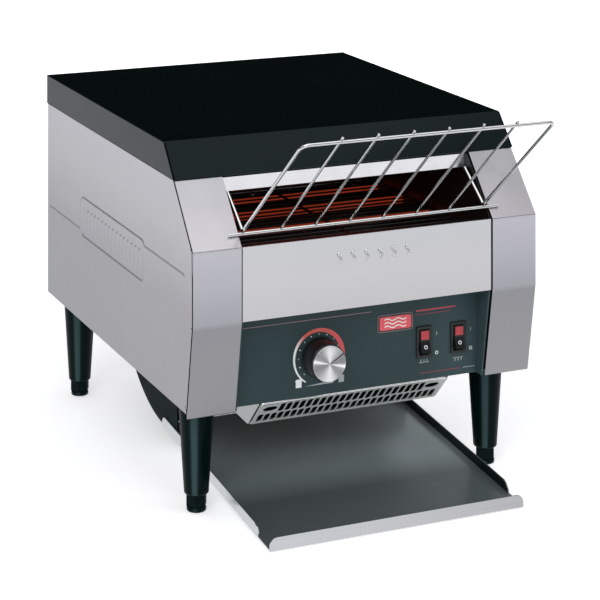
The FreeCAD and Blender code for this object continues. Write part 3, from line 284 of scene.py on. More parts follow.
def shade(k, axis, a, b, stops):
    """Painted light and shade: a tone ramp along one axis, on top of the sheet's own colour."""
    nt = M[k].node_tree
    bs = [n for n in nt.nodes if n.type == "BSDF_PRINCIPLED"][0]
    src = bs.inputs["Base Color"].links[0].from_socket
    nt.links.new(mul(nt, src, ramp(nt, remap(nt, height_of(nt, axis), 0, 1, a, b), stops)), bs.inputs["Base Color"])


# painted shade: the front panel's top return, behind its outer face, is darkened to near black
shade("front", "Y", -0.1889, -0.1872, [(0, (1.0, 1.0, 1.0)), (0.5, (0.9, 0.9, 0.9)), (1, (0.05, 0.06, 0.06))])
# painted light: the control panel is lightened towards its right end, where the strip shades it
shade("panel", "X", 0.06, 0.135, [(0, (1.0, 1.0, 1.0)), (0.5, (1.22, 1.22, 1.24)), (1, (1.55, 1.52, 1.55))])
# painted reflection: the lid's left-facing side gets a lighter bluish colour than its black top
nt_ = M["lid"].node_tree
b_ = [n for n in nt_.nodes if n.type == "BSDF_PRINCIPLED"][0]
g_ = nt_.nodes.new("ShaderNodeNewGeometry")
s_ = nt_.nodes.new("ShaderNodeSeparateXYZ")
nt_.links.new(g_.outputs["True Normal"], s_.inputs[0])
src_ = b_.inputs["Base Color"].links[0].from_socket
mx_ = nt_.nodes.new("ShaderNodeMix")
mx_.data_type = "RGBA"
nt_.links.new(remap(nt_, s_.outputs["X"], 1, 0, -0.85, -0.6), mx_.inputs[0])
nt_.links.new(src_, mx_.inputs[6])
mx_.inputs[7].default_value = (0.008, 0.012, 0.020, 1)
nt_.links.new(mx_.outputs[2], b_.inputs["Base Color"])
M["gap"] = plastic("gap_shadow", (0.002, 0.003, 0.003), 0.8, 0.05, tex=500.0, strength=0.02)
M["hem"] = plastic("lid_hem_enamel", (0.02, 0.028, 0.028), 0.22, 0.6, tex=900.0, strength=0.02)
M["vent_lip"] = steel("vent_lip_steel", (0.86, 0.87, 0.88), 0.25, "X")
M["chrome"] = steel("rack_plating", (0.68, 0.69, 0.69), 0.16, "X", grain_amt=0.02, wear=0.02)
M["white"] = plastic("white_print", (0.74, 0.78, 0.77), 0.45, 0.3, tex=1500.0)
M["grey_print"] = plastic("grey_print", (0.36, 0.40, 0.41), 0.5, 0.3, tex=1500.0)
M["line_print"] = plastic("line_print", (0.27, 0.17, 0.20), 0.5, 0.3, tex=1500.0)
M["dark_print"] = plastic("dark_print", (0.02, 0.035, 0.036), 0.45, 0.3, tex=1500.0)
M["red_print"] = plastic("red_print", (0.46, 0.06, 0.09), 0.45, 0.3, tex=1500.0)
M["red_dim"] = plastic("red_dim_print", (0.20, 0.05, 0.07), 0.5, 0.3, tex=1500.0)
M["red_badge"] = plastic("red_badge", (0.70, 0.07, 0.09), 0.3, 0.45, tex=1500.0, coat=0.3)


def dial_material():
    m, nt, bs = new_mat("dial_print")
    tc = nt.nodes.new("ShaderNodeTexCoord")
    sp = nt.nodes.new("ShaderNodeSeparateXYZ")
    nt.links.new(tc.outputs["Object"], sp.inputs[0])
    at = nt.nodes.new("ShaderNodeMath")
    at.operation = "ARCTAN2"
    nt.links.new(sp.outputs["X"], at.inputs[0])
    nt.links.new(sp.outputs["Z"], at.inputs[1])
    f = remap(nt, at.outputs[0], 0, 1, -math.pi, math.pi)
    col = ramp(nt, f, [(0.0, (0.62, 0.055, 0.06)), (0.05, (0.78, 0.82, 0.81)), (0.30, (0.78, 0.82, 0.81)), (0.345, (0.74, 0.55, 0.55)),
                       (0.40, (0.62, 0.11, 0.08)), (0.52, (0.60, 0.09, 0.075)), (0.62, (0.66, 0.07, 0.08)), (1.0, (0.60, 0.06, 0.07))])
    n = noise(nt, coords(nt, (900, 900, 900)), 1.0, 2.0, 0.5)
    nt.links.new(mul(nt, col, ramp(nt, n, [(0.3, (0.93, 0.93, 0.93)), (0.7, (1, 1, 1))])), bs.inputs["Base Color"])
    bs.inputs["Roughness"].default_value = 0.4
    bump(nt, bs, n, 0.04, 0.0002)
    return m


def cap_material():
    """Spun aluminium face: fine rings, with a fan of highlights and a lighter rim painted into the colour."""
    m, nt, bs = new_mat("spun_aluminium")
    tc = nt.nodes.new("ShaderNodeTexCoord")
    sp = nt.nodes.new("ShaderNodeSeparateXYZ")
    nt.links.new(tc.outputs["Object"], sp.inputs[0])
    at = nt.nodes.new("ShaderNodeMath")
    at.operation = "ARCTAN2"
    nt.links.new(sp.outputs["Y"], at.inputs[0])
    nt.links.new(sp.outputs["X"], at.inputs[1])
    fr = nt.nodes.new("ShaderNodeMath")
    fr.operation = "DIVIDE"
    nt.links.new(at.outputs[0], fr.inputs[0])
    fr.inputs[1].default_value = math.pi
    wr_ = nt.nodes.new("ShaderNodeMath")
    wr_.operation = "WRAP"
    nt.links.new(fr.outputs[0], wr_.inputs[0])
    wr_.inputs[1].default_value = 1.0
    wr_.inputs[2].default_value = 0.0
    g = lambda v: (v, v, v * 1.03)
    # painted highlight: a fan of light and dark sectors by angle round the middle
    fan = ramp(nt, wr_.outputs[0], [(0.0, g(0.30)), (0.07, g(0.26)), (0.20, g(0.36)), (0.33, g(0.58)), (0.44, g(0.80)), (0.52, g(0.88)),
                                    (0.60, g(0.66)), (0.70, g(0.36)), (0.80, g(0.30)), (0.875, g(0.42)), (0.91, g(1.0)), (0.935, g(1.0)), (0.965, g(0.46)), (1.0, g(0.30))])
    ln = nt.nodes.new("ShaderNodeVectorMath")
    ln.operation = "LENGTH"
    cmb = nt.nodes.new("ShaderNodeCombineXYZ")
    nt.links.new(sp.outputs["X"], cmb.inputs["X"])
    nt.links.new(sp.outputs["Y"], cmb.inputs["Y"])
    nt.links.new(cmb.outputs[0], ln.inputs[0])
    rg = nt.nodes.new("ShaderNodeTexNoise")
    rg.noise_dimensions = "1D"
    rg.inputs["Scale"].default_value = 5200.0
    rg.inputs["Detail"].default_value = 2.0
    nt.links.new(ln.outputs["Value"], rg.inputs["W"])
    # painted highlight: a lighter ring at the rim
    edge = ramp(nt, remap(nt, ln.outputs["Value"], 0, 1, 0.0, 0.0173), [(0.0, (1, 1, 1)), (0.90, (1, 1, 1)), (0.97, (1.25, 1.25, 1.25)), (1.0, (1.25, 1.25, 1.25))])
    nt.links.new(mul(nt, mul(nt, fan, ramp(nt, rg.outputs["Fac"], [(0.3, (0.92, 0.92, 0.92)), (0.7, (1, 1, 1))])), edge), bs.inputs["Base Color"])
    bs.inputs["Metallic"].default_value = 0.75
    bs.inputs["Roughness"].default_value = 0.34
    bump(nt, bs, rg.outputs["Fac"], 0.12, 0.0002)
    return m


M["dial"] = dial_material()
M["cap"] = cap_material()

CAD_MATS = {
    "base_pan": "steel", "rear_panel": "side", "vent_grille": "vent", "vent_box": "vent",
    "left_chamber_wall": "inner", "right_chamber_wall": "inner", "chamber_rear_wall": "inner",
    "upper_baffle": "baffle", "top_reflector": "inner", "heat_shield": "inner", "insulation_blanket": "blanket",
    "upper_elements": "sheath", "lower_elements": "sheath", "conveyor_belt": "belt",
    "drive_shaft": "shaft", "idler_shaft": "shaft", "drive_rollers": "shaft", "idler_rollers": "shaft",
    "shaft_bushings": "brass", "driven_sprocket": "shaft", "motor_sprocket": "shaft", "drive_chain": "shaft",
    "gearmotor": "alloy", "motor_bracket": "inner", "toast_chute": "chute", "control_panel": "panel",
    "control_shaft": "shaft", "speed_control": "matt", "switch_housing_top_heat": "black",
    "switch_housing_bottom_heat": "black", "rocker_top_heat": "black", "rocker_bottom_heat": "black",
    "rocker_lens_top_heat": "lens", "rocker_lens_bottom_heat": "lens", "fan_frame": "alloy", "fan_rotor": "matt",
    "terminal_block": "block", "wiring_harness": "rubber", "power_cord": "rubber", "power_plug": "black",
    "cord_gland": "rubber", "panel_screws": "shaft", "top_cover": "lid", "left_side_panel": "side",
    "right_side_panel": "side", "left_front_strip": "strip", "right_front_strip": "strip", "front_panel": "front",
    "toast_tray": "tray", "feed_rack": "chrome", "speed_knob": "black", "knob_cap": "steel",
    "leg_front_left": "leg", "leg_front_right": "leg", "leg_rear_left": "leg", "leg_rear_right": "leg",
    "foot_front_left": "foot", "foot_front_right": "foot", "foot_rear_left": "foot", "foot_rear_right": "foot",
}
for n, key in CAD_MATS.items():
    o = NODES[n]
    o.data.materials.clear()
    o.data.materials.append(M[key])

# ------------------------------------------------------------------ builders
def mm(p):
    return L(*p)


def finish_mesh(name, bm, mat, smooth=False, flat_angle=None):
    bmesh.ops.recalc_face_normals(bm, faces=bm.faces)
    me = bpy.data.meshes.new(name)
    bm.to_mesh(me)
    bm.free()
    for p in me.polygons:
        p.use_smooth = smooth
    o = bpy.data.objects.new(name, me)
    o.data.materials.append(mat)
    bpy.context.scene.collection.objects.link(o)
    return o


def prism(name, loop, lo, hi, mat, axis="X"):
    """Closed slab: a loop of layout points drawn across the named axis and run
    from lo to hi along it. Axis X takes (y, z) pairs, axis Y takes (x, z)."""
    bm = bmesh.new()
    def at(a, b, t):
        return mm((t, a, b)) if axis == "X" else mm((a, t, b))
    v0 = [bm.verts.new(at(a, b, lo)) for a, b in loop]
    v1 = [bm.verts.new(at(a, b, hi)) for a, b in loop]
    n = len(loop)
    bm.faces.new(v0)
    bm.faces.new(list(reversed(v1)))
    for i in range(n):
        j = (i + 1) % n
        bm.faces.new((v0[i], v1[i], v1[j], v0[j]))
    return finish_mesh(name, bm, mat)


def bevel(o, width, segs=2, angle=35.0, weld=False):
    if weld:
        w = o.modifiers.new("weld", "WELD")
        w.merge_threshold = 0.000002
    b = o.modifiers.new("bevel", "BEVEL")
    b.width = width / 1000.0
    b.segments = segs
    b.limit_method = "ANGLE"
    b.angle_limit = math.radians(angle)
    b.use_clamp_overlap = True
    n = o.modifiers.new("normals", "WEIGHTED_NORMAL")
    n.keep_sharp = False
    for p in o.data.polygons:
        p.use_smooth = True
    return o


def soften(node, width, segs=2, angle=35.0):
    o = NODES[node]
    if "custom_normal" in o.data.attributes:
        o.data.attributes.remove(o.data.attributes["custom_normal"])
    return bevel(o, width, segs, angle, weld=True)


def tube(name, pts, r, mat, segs=14, layout=True, closed=False):
    """Round wire along a dense path with capped ends."""
    P = [mm(p) if layout else Vector(p) for p in pts]
    R = r / 1000.0
    bm = bmesh.new()
    rings = []
    t0 = (P[1] - P[0]).normalized()
    ref = Vector((0, 0, 1)) if abs(t0.z) < 0.9 else Vector((1, 0, 0))
    nrm = t0.cross(ref).normalized()
    prev = t0
    for i, p in enumerate(P):
        if i == 0:
            t = t0
        elif i == len(P) - 1:
            t = (P[-1] - P[-2]).normalized()
        else:
            t = ((P[i + 1] - p).normalized() + (p - P[i - 1]).normalized()).normalized()
        ax = prev.cross(t)
        if ax.length > 1e-9:
            nrm = Matrix.Rotation(prev.angle(t), 3, ax.normalized()) @ nrm
        prev = t
        b = t.cross(nrm).normalized()
        rings.append([bm.verts.new(p + R * (math.cos(a) * nrm + math.sin(a) * b))
                      for a in [2 * math.pi * k / segs for k in range(segs)]])
    for i in range(len(rings) - 1):
        for k in range(segs):
            m = (k + 1) % segs
            bm.faces.new((rings[i][k], rings[i][m], rings[i + 1][m], rings[i + 1][k]))
    bm.faces.new(list(reversed(rings[0])))
    bm.faces.new(rings[-1])
    o = finish_mesh(name, bm, mat, smooth=True)
    for p in o.data.polygons:
        if len(p.vertices) > 4:
            p.use_smooth = False
    return o


def ride(o, body):
    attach(o, body)
    return o


def ring_sector(r0, r1, a0, a1, n):
    """Loop of (x, z) round the origin, angles clockwise from straight up; r0
    may be a pair that tapers from the first angle to the last."""
    ra, rb = r0 if isinstance(r0, tuple) else (r0, r0)
    out = []
    for i in range(n + 1):
        a = math.radians(a0 + (a1 - a0) * i / n)
        out.append((r1 * math.sin(a), r1 * math.cos(a)))
    for i in range(n, -1, -1):
        a = math.radians(a0 + (a1 - a0) * i / n)
        r = ra + (rb - ra) * i / n
        out.append((r * math.sin(a), r * math.cos(a)))
    return out


# ------------------------------------------------------------------ sheet metal
FYL, KTL, KLL = 150.0, 263.0, 192.4
SY, SZ = 0.65319, 0.75719


def front_at(z, g):
    """Layout y of the front profile at height z, g mm behind its outer face."""
    kt = KTL - g * 0.37191
    kl = KLL + g * 0.08780
    if z > kt:
        return FYL + g + (z - kt) * SY / SZ
    if z < kl:
        return FYL + g + (kl - z) * 0.17442 / 0.98467
    return FYL + g


soften("top_cover", 1.3, 3)
for n in ("left_front_strip", "right_front_strip"):
    soften(n, 0.45, 2, 9.0)
soften("front_panel", 0.8, 3)
soften("rear_panel", 0.3, 2)
soften("control_panel", 0.5, 2)
soften("vent_grille", 0.22, 2)
soften("vent_box", 0.4, 2)
soften("upper_baffle", 0.3, 2)
soften("left_side_panel", 0.4, 2)
soften("right_side_panel", 0.4, 2)
soften("toast_chute", 0.3, 2, 50.0)
soften("base_pan", 0.3, 2)
for t in ("top_heat", "bottom_heat"):
    soften("switch_housing_" + t, 0.45, 3)
    soften("rocker_" + t, 0.5, 3, 25.0)
    soften("rocker_lens_" + t, 0.25, 2)

# painted shadow: black slabs standing for the shade in the gaps between the sheets
for sgn, tag in ((-1, "left"), (1, "right")):
    def sx(a, b):
        """Layout x range measured inwards from the casing side."""
        return (a, b) if sgn < 0 else (368.0 - b, 368.0 - a)
    # side seam behind the strip, from the lid down to the chin
    zs = [333.0, 300.0, KTL, 228.0, KLL, 150.0, 108.0]
    loop = [(front_at(z, 1.35), z) for z in zs] + [(front_at(z, 2.35), z) for z in reversed(zs)]
    x0, x1 = sx(-0.07, 1.0)
    ride(prism("side_seam_" + tag, loop, x0, x1, M["gap"]), "casing")
    # small relief cuts at the bends of the side panel
    for k, (y0, z0, dy, dz) in enumerate(((152.2, KTL + 0.3, 5.5, 1.0), (152.0, KLL - 0.5, 4.2, -0.6), (166.5, 110.5, 4.5, 4.0))):
        loop = [(y0, z0), (y0 + dy, z0 + dz), (y0 + dy, z0 + dz + 0.45), (y0, z0 + 0.45)]
        ride(prism("side_relief_%s_%d" % (tag, k), loop, x0, x1, M["gap"]), "casing")
    # joint between strip and front panel
    x0, x1 = sx(49.35, 50.15)
    loop = [(149.93, 193.6), (149.93, 262.2), (151.4, 262.2), (151.4, 193.6)]
    ride(prism("facet_seam_" + tag, loop, x0, x1, M["gap"]), "casing")
    # open mitre of the lid between skirt and slope
    x0, x1 = sx(-0.85, 0.75)
    top = [(318.9 + 1.2, 1.0), (351.0, 1.0)]
    loop = [(front_at(320.1, -1.1), 320.1), (front_at(350.4, -1.1), 350.4), (front_at(350.4, 0.6), 350.4), (front_at(320.1, 0.6), 320.1)]
    ride(prism("lid_mitre_" + tag, loop, x0, x1, M["gap"]), "casing")

# hem under the lid's slope, and the shadow gap over the baffle
ride(tube("lid_hem", [(51.0 + 1.0 * i * 266 / 40, front_at(320.0, 0.3), 319.6) for i in range(41)], 0.8, M["hem"]), "casing")
ride(prism("lid_gap", [(front_at(319.0, 1.2), 317.6), (front_at(319.0, 1.2), 319.4), (206.0, 324.5), (205.4, 321.6)],
           50.4, 316.6, M["gap"]), "casing")

# ------------------------------------------------------------------ embossed side relief
def smooth_step(e0, e1, v):
    t = max(0.0, min(1.0, (v - e0) / (e1 - e0)))
    return t * t * (3 - 2 * t)


def bump_box(y, z, y0, y1, z0, z1, edge, lean=0.0):
    yy = y + lean * (z - (z0 + z1) / 2)
    return (smooth_step(y0 - edge, y0 + edge, yy) * (1 - smooth_step(y1 - edge, y1 + edge, yy))
            * smooth_step(z0 - edge, z0 + edge, z) * (1 - smooth_step(z1 - edge, z1 + edge, z)))


def round_rect(y, z, y0, y1, z0, z1, r):
    cy = max(y0 + r - y, y - (y1 - r), 0.0)
    cz = max(z0 + r - z, z - (z1 - r), 0.0)
    if cy > 0 and cz > 0:
        return math.hypot(cy, cz) - r
    return max(y0 - y, y - y1, z0 - z, z - z1)


RIBS = []
for i in range(15):
    RIBS.append(295.5 + i * 11.4)


def relief(y, z):
    """Raised height in mm of the pressed pattern on the side panel."""
    h = 0.0
    # plaque: a sunk field inside a raised rounded border, open to two beads
    d = round_rect(y, z, 278.0, 480.0, 194.5, 242.5, 12.0)
    border = 1 - smooth_step(1.6, 4.6, abs(d + 3.4))
    h = max(h, 0.80 * border)
    if d < -6.0:
        ribs = 0.0
        for c in RIBS:
            if abs(y - c) < 6.5:
                ribs = max(ribs, bump_box(y, z, c - 2.0, c + 2.0, 207.0, 231.0, 1.5, 0.10))
        h = max(h, 0.78 * ribs)
    # bead to the rear and bead to the front, each with a round end
    for (y0, y1, zc) in ((476.0, 584.0, 203.5), (174.0, 282.0, 234.5)):
        yc = min(max(y, y0), y1)
        dd = math.hypot(y - yc, z - zc)
        h = max(h, 0.78 * (1 - smooth_step(1.2, 4.6, dd)))
    return h


def relief_patch(name, outer_x, sgn):
    y0, y1, z0, z1 = 166.0, 592.0, 188.0, 249.0
    ny, nz = 533, 77
    bm = bmesh.new()
    grid = []
    for i in range(ny):
        y = y0 + (y1 - y0) * i / (ny - 1)
        col = []
        for j in range(nz):
            z = z0 + (z1 - z0) * j / (nz - 1)
            h = relief(y, z) - 0.05
            col.append(bm.verts.new(mm((outer_x + sgn * h, y, z))))
        grid.append(col)
    for i in range(ny - 1):
        for j in range(nz - 1):
            bm.faces.new((grid[i][j], grid[i + 1][j], grid[i + 1][j + 1], grid[i][j + 1]))
    # closed behind, inside the panel
    b = [bm.verts.new(mm((outer_x - sgn * 0.5, y, z))) for y, z in ((y0, z0), (y1, z0), (y1, z1), (y0, z1))]
    bm.faces.new(b)
    rim0 = [grid[i][0] for i in range(ny)]
    rim1 = [grid[ny - 1][j] for j in range(nz)]
    rim2 = [grid[i][nz - 1] for i in range(ny - 1, -1, -1)]
    rim3 = [grid[0][j] for j in range(nz - 1, -1, -1)]
    for rim, (p, q) in ((rim0, (b[0], b[1])), (rim1, (b[1], b[2])), (rim2, (b[2], b[3])), (rim3, (b[3], b[0]))):
        bm.faces.new([q, p] + rim)
    o = finish_mesh(name, bm, M["side"], smooth=True)
    for p in o.data.polygons:
        if len(p.vertices) > 4 or p.index == (ny - 1) * (nz - 1):
            p.use_smooth = False
    return o


ride(relief_patch("side_relief_panel_left", 0.0, -1), "casing")
ride(relief_patch("side_relief_panel_right", 368.0, 1), "casing")

# small pressed heat sign on the front panel: six upright waves
for k in range(6):
    xc = 151.0 + k * 14.6
    pts = []
    for i in range(31):
        t = i / 30.0
        pts.append((xc + 1.9 * math.sin(2 * math.pi * t), 149.80, 237.6 + 10.2 * t))
    ride(tube("front_heat_wave_%d" % k, pts, 0.95, M["front"], 12), "casing")

# ------------------------------------------------------------------ vent trim, and painted shadow behind the grille
ride(tube("vent_top_lip", [(81.6 + 201.0 * i / 60, 178.9, 102.2) for i in range(61)], 1.5, M["vent_lip"]), "casing")
ride(tube("vent_bottom_lip", [(81.6 + 201.0 * i / 60, 206.3, 74.95) for i in range(61)], 0.7, M["vent_lip"]), "casing")
# painted shadow: a black box behind the grille stands for the shade inside the vent
ride(prism("vent_shadow_box", [(183.0, 101.6), (208.6, 77.0), (243.6, 78.4), (243.6, 106.6), (183.0, 106.6)],
           81.0, 283.2, M["gap"]), "casing")

# ------------------------------------------------------------------ control panel print
PY = 178.0


def print_on(name, loop, mat, x=0.0, z=0.0, proud=0.12):
    o = prism(name, [(x + a, z + b) for a, b in loop], PY - proud, PY + 0.05, mat, axis="Y")
    return ride(o, "casing")


KX, KZ = 142.2, 140.6
# dial sweep, its own origin at the dial's middle so that the colour follows the angle
bm = bmesh.new()
N = 96
A0, A1 = -148.0, 135.0
front, back = [], []
for (lst, y) in ((front, -0.12), (back, 0.05)):
    for i in range(N + 1):
        t = i / N
        a = math.radians(A0 + (A1 - A0) * t)
        ri = 26.35 - 3.6 * min(1.0, t / 0.78)
        lst.append((bm.verts.new(Vector((27.65 * math.sin(a), y, 27.65 * math.cos(a))) / 1000),
                    bm.verts.new(Vector((ri * math.sin(a), y, ri * math.cos(a))) / 1000)))
for i in range(N):
    bm.faces.new((front[i][0], front[i][1], front[i + 1][1], front[i + 1][0]))
    bm.faces.new((back[i][1], back[i][0], back[i + 1][0], back[i + 1][1]))
    bm.faces.new((front[i][0], front[i + 1][0], back[i + 1][0], back[i][0]))
    bm.faces.new((front[i + 1][1], front[i][1], back[i][1], back[i + 1][1]))
bm.faces.new((front[0][1], front[0][0], back[0][0], back[0][1]))
bm.faces.new((front[N][0], front[N][1], back[N][1], back[N][0]))
dial = finish_mesh("dial_sweep", bm, M["dial"])
dial.location = mm((KX, PY, KZ))
ride(dial, "casing")
for k in range(13):
    a = math.radians(-134.0 + 22.4 * k)
    cx, cz = KX + 21.9 * math.sin(a), KZ + 21.9 * math.cos(a)
    rr = 0.62 if k % 2 else 0.5
    print_on("dial_dot_%02d" % k, [(rr * math.cos(t), rr * math.sin(t)) for t in [2 * math.pi * j / 16 for j in range(16)]],
             M["white"], cx, cz)
# slice pictograms at both ends of the dial, and a plain wedge between them
SLICE = [(-3.0, 0), (3.0, 0), (3.0, 5.0), (3.3, 5.6), (3.4, 6.4), (3.0, 7.3), (2.0, 7.9), (0.6, 8.1), (-0.6, 8.1),
         (-2.0, 7.9), (-3.0, 7.3), (-3.4, 6.4), (-3.3, 5.6), (-3.0, 5.0)]
print_on("slice_light", SLICE, M["white"], 120.5, 113.2)
print_on("slice_dark", [(a * 0.95, b * 0.9) for a, b in SLICE], M["grey_print"], 165.9, 113.0)
print_on("dial_wedge", [(0, 0), (30.0, 0), (30.0, 2.8)], M["grey_print"], 127.5, 113.4)
# thin red line, badge and stripes
print_on("panel_line", [(0, 0), (146.0, 0), (148.5, 0.35), (146.0, 0.7), (0, 0.7)], M["line_print"], 51.6, 176.9)


def rrect(w, h, r, n=6):
    out = []
    for cx, cz, a0 in ((w / 2 - r, h / 2 - r, 0), (-w / 2 + r, h / 2 - r, 90), (-w / 2 + r, -h / 2 + r, 180), (w / 2 - r, -h / 2 + r, 270)):
        for i in range(n + 1):
            a = math.radians(a0 + 90.0 * i / n)
            out.append((cx + r * math.cos(a), cz + r * math.sin(a)))
    return out


print_on("badge_edge", rrect(38.6, 17.0, 3.0), M["line_print"], 224.8, 163.8, 0.25)
print_on("badge_field", rrect(37.4, 15.8, 2.5), M["dark_print"], 224.8, 163.8, 0.32)
print_on("badge_plate", rrect(34.6, 13.0, 1.8), M["red_badge"], 224.8, 163.8, 0.6)
for k in range(3):
    zc = 160.3 + 3.5 * k
    up = [(-12 + 24 * i / 30, 0.55 + 1.0 * math.sin(2 * math.pi * i / 15)) for i in range(31)]
    dn = [(a, b - 1.1) for a, b in reversed(up)]
    print_on("badge_wave_%d" % k, up + dn, M["white"], 224.8, zc, 0.72)
print_on("stripe_upper", [(0, 0), (44.0, 0), (45.2, 1.5), (1.2, 1.5)], M["red_print"], 247.4, 171.4)
print_on("stripe_lower", [(0, 0), (40.0, 0), (40.6, 0.8), (0.6, 0.8)], M["red_dim"], 247.0, 168.0)
print_on("stripe_base", [(0, 0), (45.0, 0), (45.0, 0.9), (0, 0.9)], M["red_dim"], 252.6, 109.6)
print_on("stripe_base_end", [(0, 0), (14.0, 0), (14.0, 0.6), (0, 0.6)], M["grey_print"], 300.2, 109.7)
# switch marks
for tag, xs in (("top", 270.8), ("bottom", 309.1)):
    print_on("mark_on_" + tag, [(-0.35, -1.7), (0.35, -1.7), (0.35, 1.7), (-0.35, 1.7)], M["grey_print"], xs, 147.6)
    bm = bmesh.new()
    rows = []
    for y in (-0.12, 0.05):
        rows.append([(bm.verts.new(Vector((1.75 * math.cos(a), y, 1.75 * math.sin(a))) / 1000),
                      bm.verts.new(Vector((1.1 * math.cos(a), y, 1.1 * math.sin(a))) / 1000))
                     for a in [2 * math.pi * j / 28 for j in range(28)]])
    f, b = rows
    for j in range(28):
        k = (j + 1) % 28
        bm.faces.new((f[j][0], f[k][0], f[k][1], f[j][1]))
        bm.faces.new((b[k][0], b[j][0], b[j][1], b[k][1]))
        bm.faces.new((f[k][0], f[j][0], b[j][0], b[k][0]))
        bm.faces.new((f[j][1], f[k][1], b[k][1], b[j][1]))
    o = finish_mesh("mark_off_" + tag, bm, M["white"])
    o.location = mm((xs, PY, 128.5))
    ride(o, "casing")
# heat signs under the switches: a shelf line with ticks over or under it
for tag, xs, up in (("top", 256.6, 1), ("bottom", 295.0, -1)):
    print_on("heat_shelf_" + tag, [(-5.5, -0.3), (5.5, -0.3), (5.5, 0.3), (-5.5, 0.3)], M["grey_print"], xs, 120.6)
    for k in (-1, 0, 1):
        z0 = 0.9 if up > 0 else -3.1
        print_on("heat_tick_%s_%d" % (tag, k + 1), [(-0.4, z0), (0.4, z0), (0.4, z0 + 2.2), (-0.4, z0 + 2.2)],
                 M["grey_print"], xs + 3.4 * k, 120.6)
# O mark on each rocker's raised half, in the rocker's own frame
for tag, xs in (("top_heat", 256.2), ("bottom_heat", 294.4)):
    bm = bmesh.new()
    rows = []
    for h in (0.14, -0.1):
        rows.append([(bm.verts.new(Vector((1.9 * math.cos(a), 1.9 * math.sin(a), h)) / 1000),
                      bm.verts.new(Vector((1.15 * math.cos(a), 1.15 * math.sin(a), h)) / 1000))
                     for a in [2 * math.pi * j / 28 for j in range(28)]])
    f, b = rows
    for j in range(28):
        k = (j + 1) % 28
        bm.faces.new((f[j][0], f[j][1], f[k][1], f[k][0]))
        bm.faces.new((b[j][1], b[j][0], b[k][0], b[k][1]))
        bm.faces.new((f[j][0], f[k][0], b[k][0], b[j][0]))
        bm.faces.new((f[k][1], f[j][1], b[j][1], b[k][1]))
    o = finish_mesh("rocker_mark_" + tag, bm, M["white"])
    fac = math.atan2(1.7, 10.4)
    base = Matrix.Translation(mm((xs, PY + 1.0, 141.0))) @ Matrix.Rotation(math.radians(90.0 - 11.0), 4, "X")
    o.matrix_world = base @ Matrix.Translation(Vector((0, -5.2, 4.5 + (5.2 - 0.8) * math.tan(fac) + 0.02)) / 1000) @ Matrix.Rotation(-fac, 4, "X")
    ride(o, tag + "_rocker")

# ------------------------------------------------------------------ knob face
segs = 96
prof = [(0.0, 24.95), (5.0, 24.9), (12.0, 24.78), (16.4, 24.7), (17.0, 24.5), (17.3, 24.1), (17.3, 22.3), (0.0, 22.3)]
bm = bmesh.new()
rings = []
for r, h in prof:
    if r == 0.0:
        rings.append([bm.verts.new(Vector((0, 0, h)) / 1000)])
    else:
        rings.append([bm.verts.new(Vector((r * math.cos(a), r * math.sin(a), h)) / 1000) for a in [2 * math.pi * k / segs for k in range(segs)]])
for i in range(len(rings) - 1):
    a, b = rings[i], rings[i + 1]
    for k in range(segs):
        m = (k + 1) % segs
        if len(a) == 1:
            bm.faces.new((a[0], b[k], b[m]))
        elif len(b) == 1:
            bm.faces.new((a[k], b[0], a[m]))
        else:
            bm.faces.new((a[k], b[k], b[m], a[m]))
cap = finish_mesh("knob_face", bm, M["cap"], smooth=True)
cap.matrix_world = Matrix.Translation(mm((KX, PY, KZ))) @ Matrix.Rotation(math.radians(90), 4, "X")
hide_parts("knob_cap")
ride(cap, "knob")
bpy.context.view_layer.update()
# pointer: a painted black line from the middle to the rim
ang = math.radians(90.0 - 59.7)
d = Vector((math.cos(ang), math.sin(ang)))
nn = Vector((-d.y, d.x))
bm = bmesh.new()
loop = [d * 0.4 - nn * 0.35, d * 17.0 - nn * 0.62, d * 17.0 + nn * 0.62, d * 0.4 + nn * 0.35]
hh = [24.98, 24.72, 24.72, 24.98]
v1 = [bm.verts.new(Vector((p.x, p.y, h + 0.1)) / 1000) for p, h in zip(loop, hh)]
v0 = [bm.verts.new(Vector((p.x, p.y, h - 0.4)) / 1000) for p, h in zip(loop, hh)]
bm.faces.new(v1)
bm.faces.new(list(reversed(v0)))
for i in range(4):
    j = (i + 1) % 4
    bm.faces.new((v0[i], v0[j], v1[j], v1[i]))
o = finish_mesh("knob_pointer", bm, M["matt"])
o.matrix_world = Matrix.Translation(mm((KX, PY, KZ))) @ Matrix.Rotation(math.radians(90), 4, "X")
ride(o, "knob")

# ------------------------------------------------------------------ stage
sc = bpy.context.scene
sc.view_settings.view_transform = "Standard"
sc.view_settings.look = "None"

world = bpy.data.worlds.new("studio")
sc.world = world
world.use_nodes = True
wn = world.node_tree
wn.nodes.clear()
wout = wn.nodes.new("ShaderNodeOutputWorld")
cam_bg = wn.nodes.new("ShaderNodeBackground")
cam_bg.inputs["Color"].default_value = (1, 1, 1, 1)
cam_bg.inputs["Strength"].default_value = 1.0
env = wn.nodes.new("ShaderNodeBackground")
soft = wn.nodes.new("ShaderNodeBackground")
soft.inputs["Color"].default_value = (0.97, 0.98, 1.0, 1)
soft.inputs["Strength"].default_value = 0.55
lp = wn.nodes.new("ShaderNodeLightPath")
mix0 = wn.nodes.new("ShaderNodeMixShader")
mix = wn.nodes.new("ShaderNodeMixShader")
wn.links.new(lp.outputs["Is Glossy Ray"], mix0.inputs["Fac"])
wn.links.new(soft.outputs[0], mix0.inputs[1])
wn.links.new(env.outputs[0], mix0.inputs[2])
wn.links.new(lp.outputs["Is Camera Ray"], mix.inputs["Fac"])
wn.links.new(mix0.outputs[0], mix.inputs[1])
wn.links.new(cam_bg.outputs[0], mix.inputs[2])
wn.links.new(mix.outputs[0], wout.inputs["Surface"])
wtc = wn.nodes.new("ShaderNodeTexCoord")
wsp = wn.nodes.new("ShaderNodeSeparateXYZ")
wn.links.new(wtc.outputs["Generated"], wsp.inputs[0])


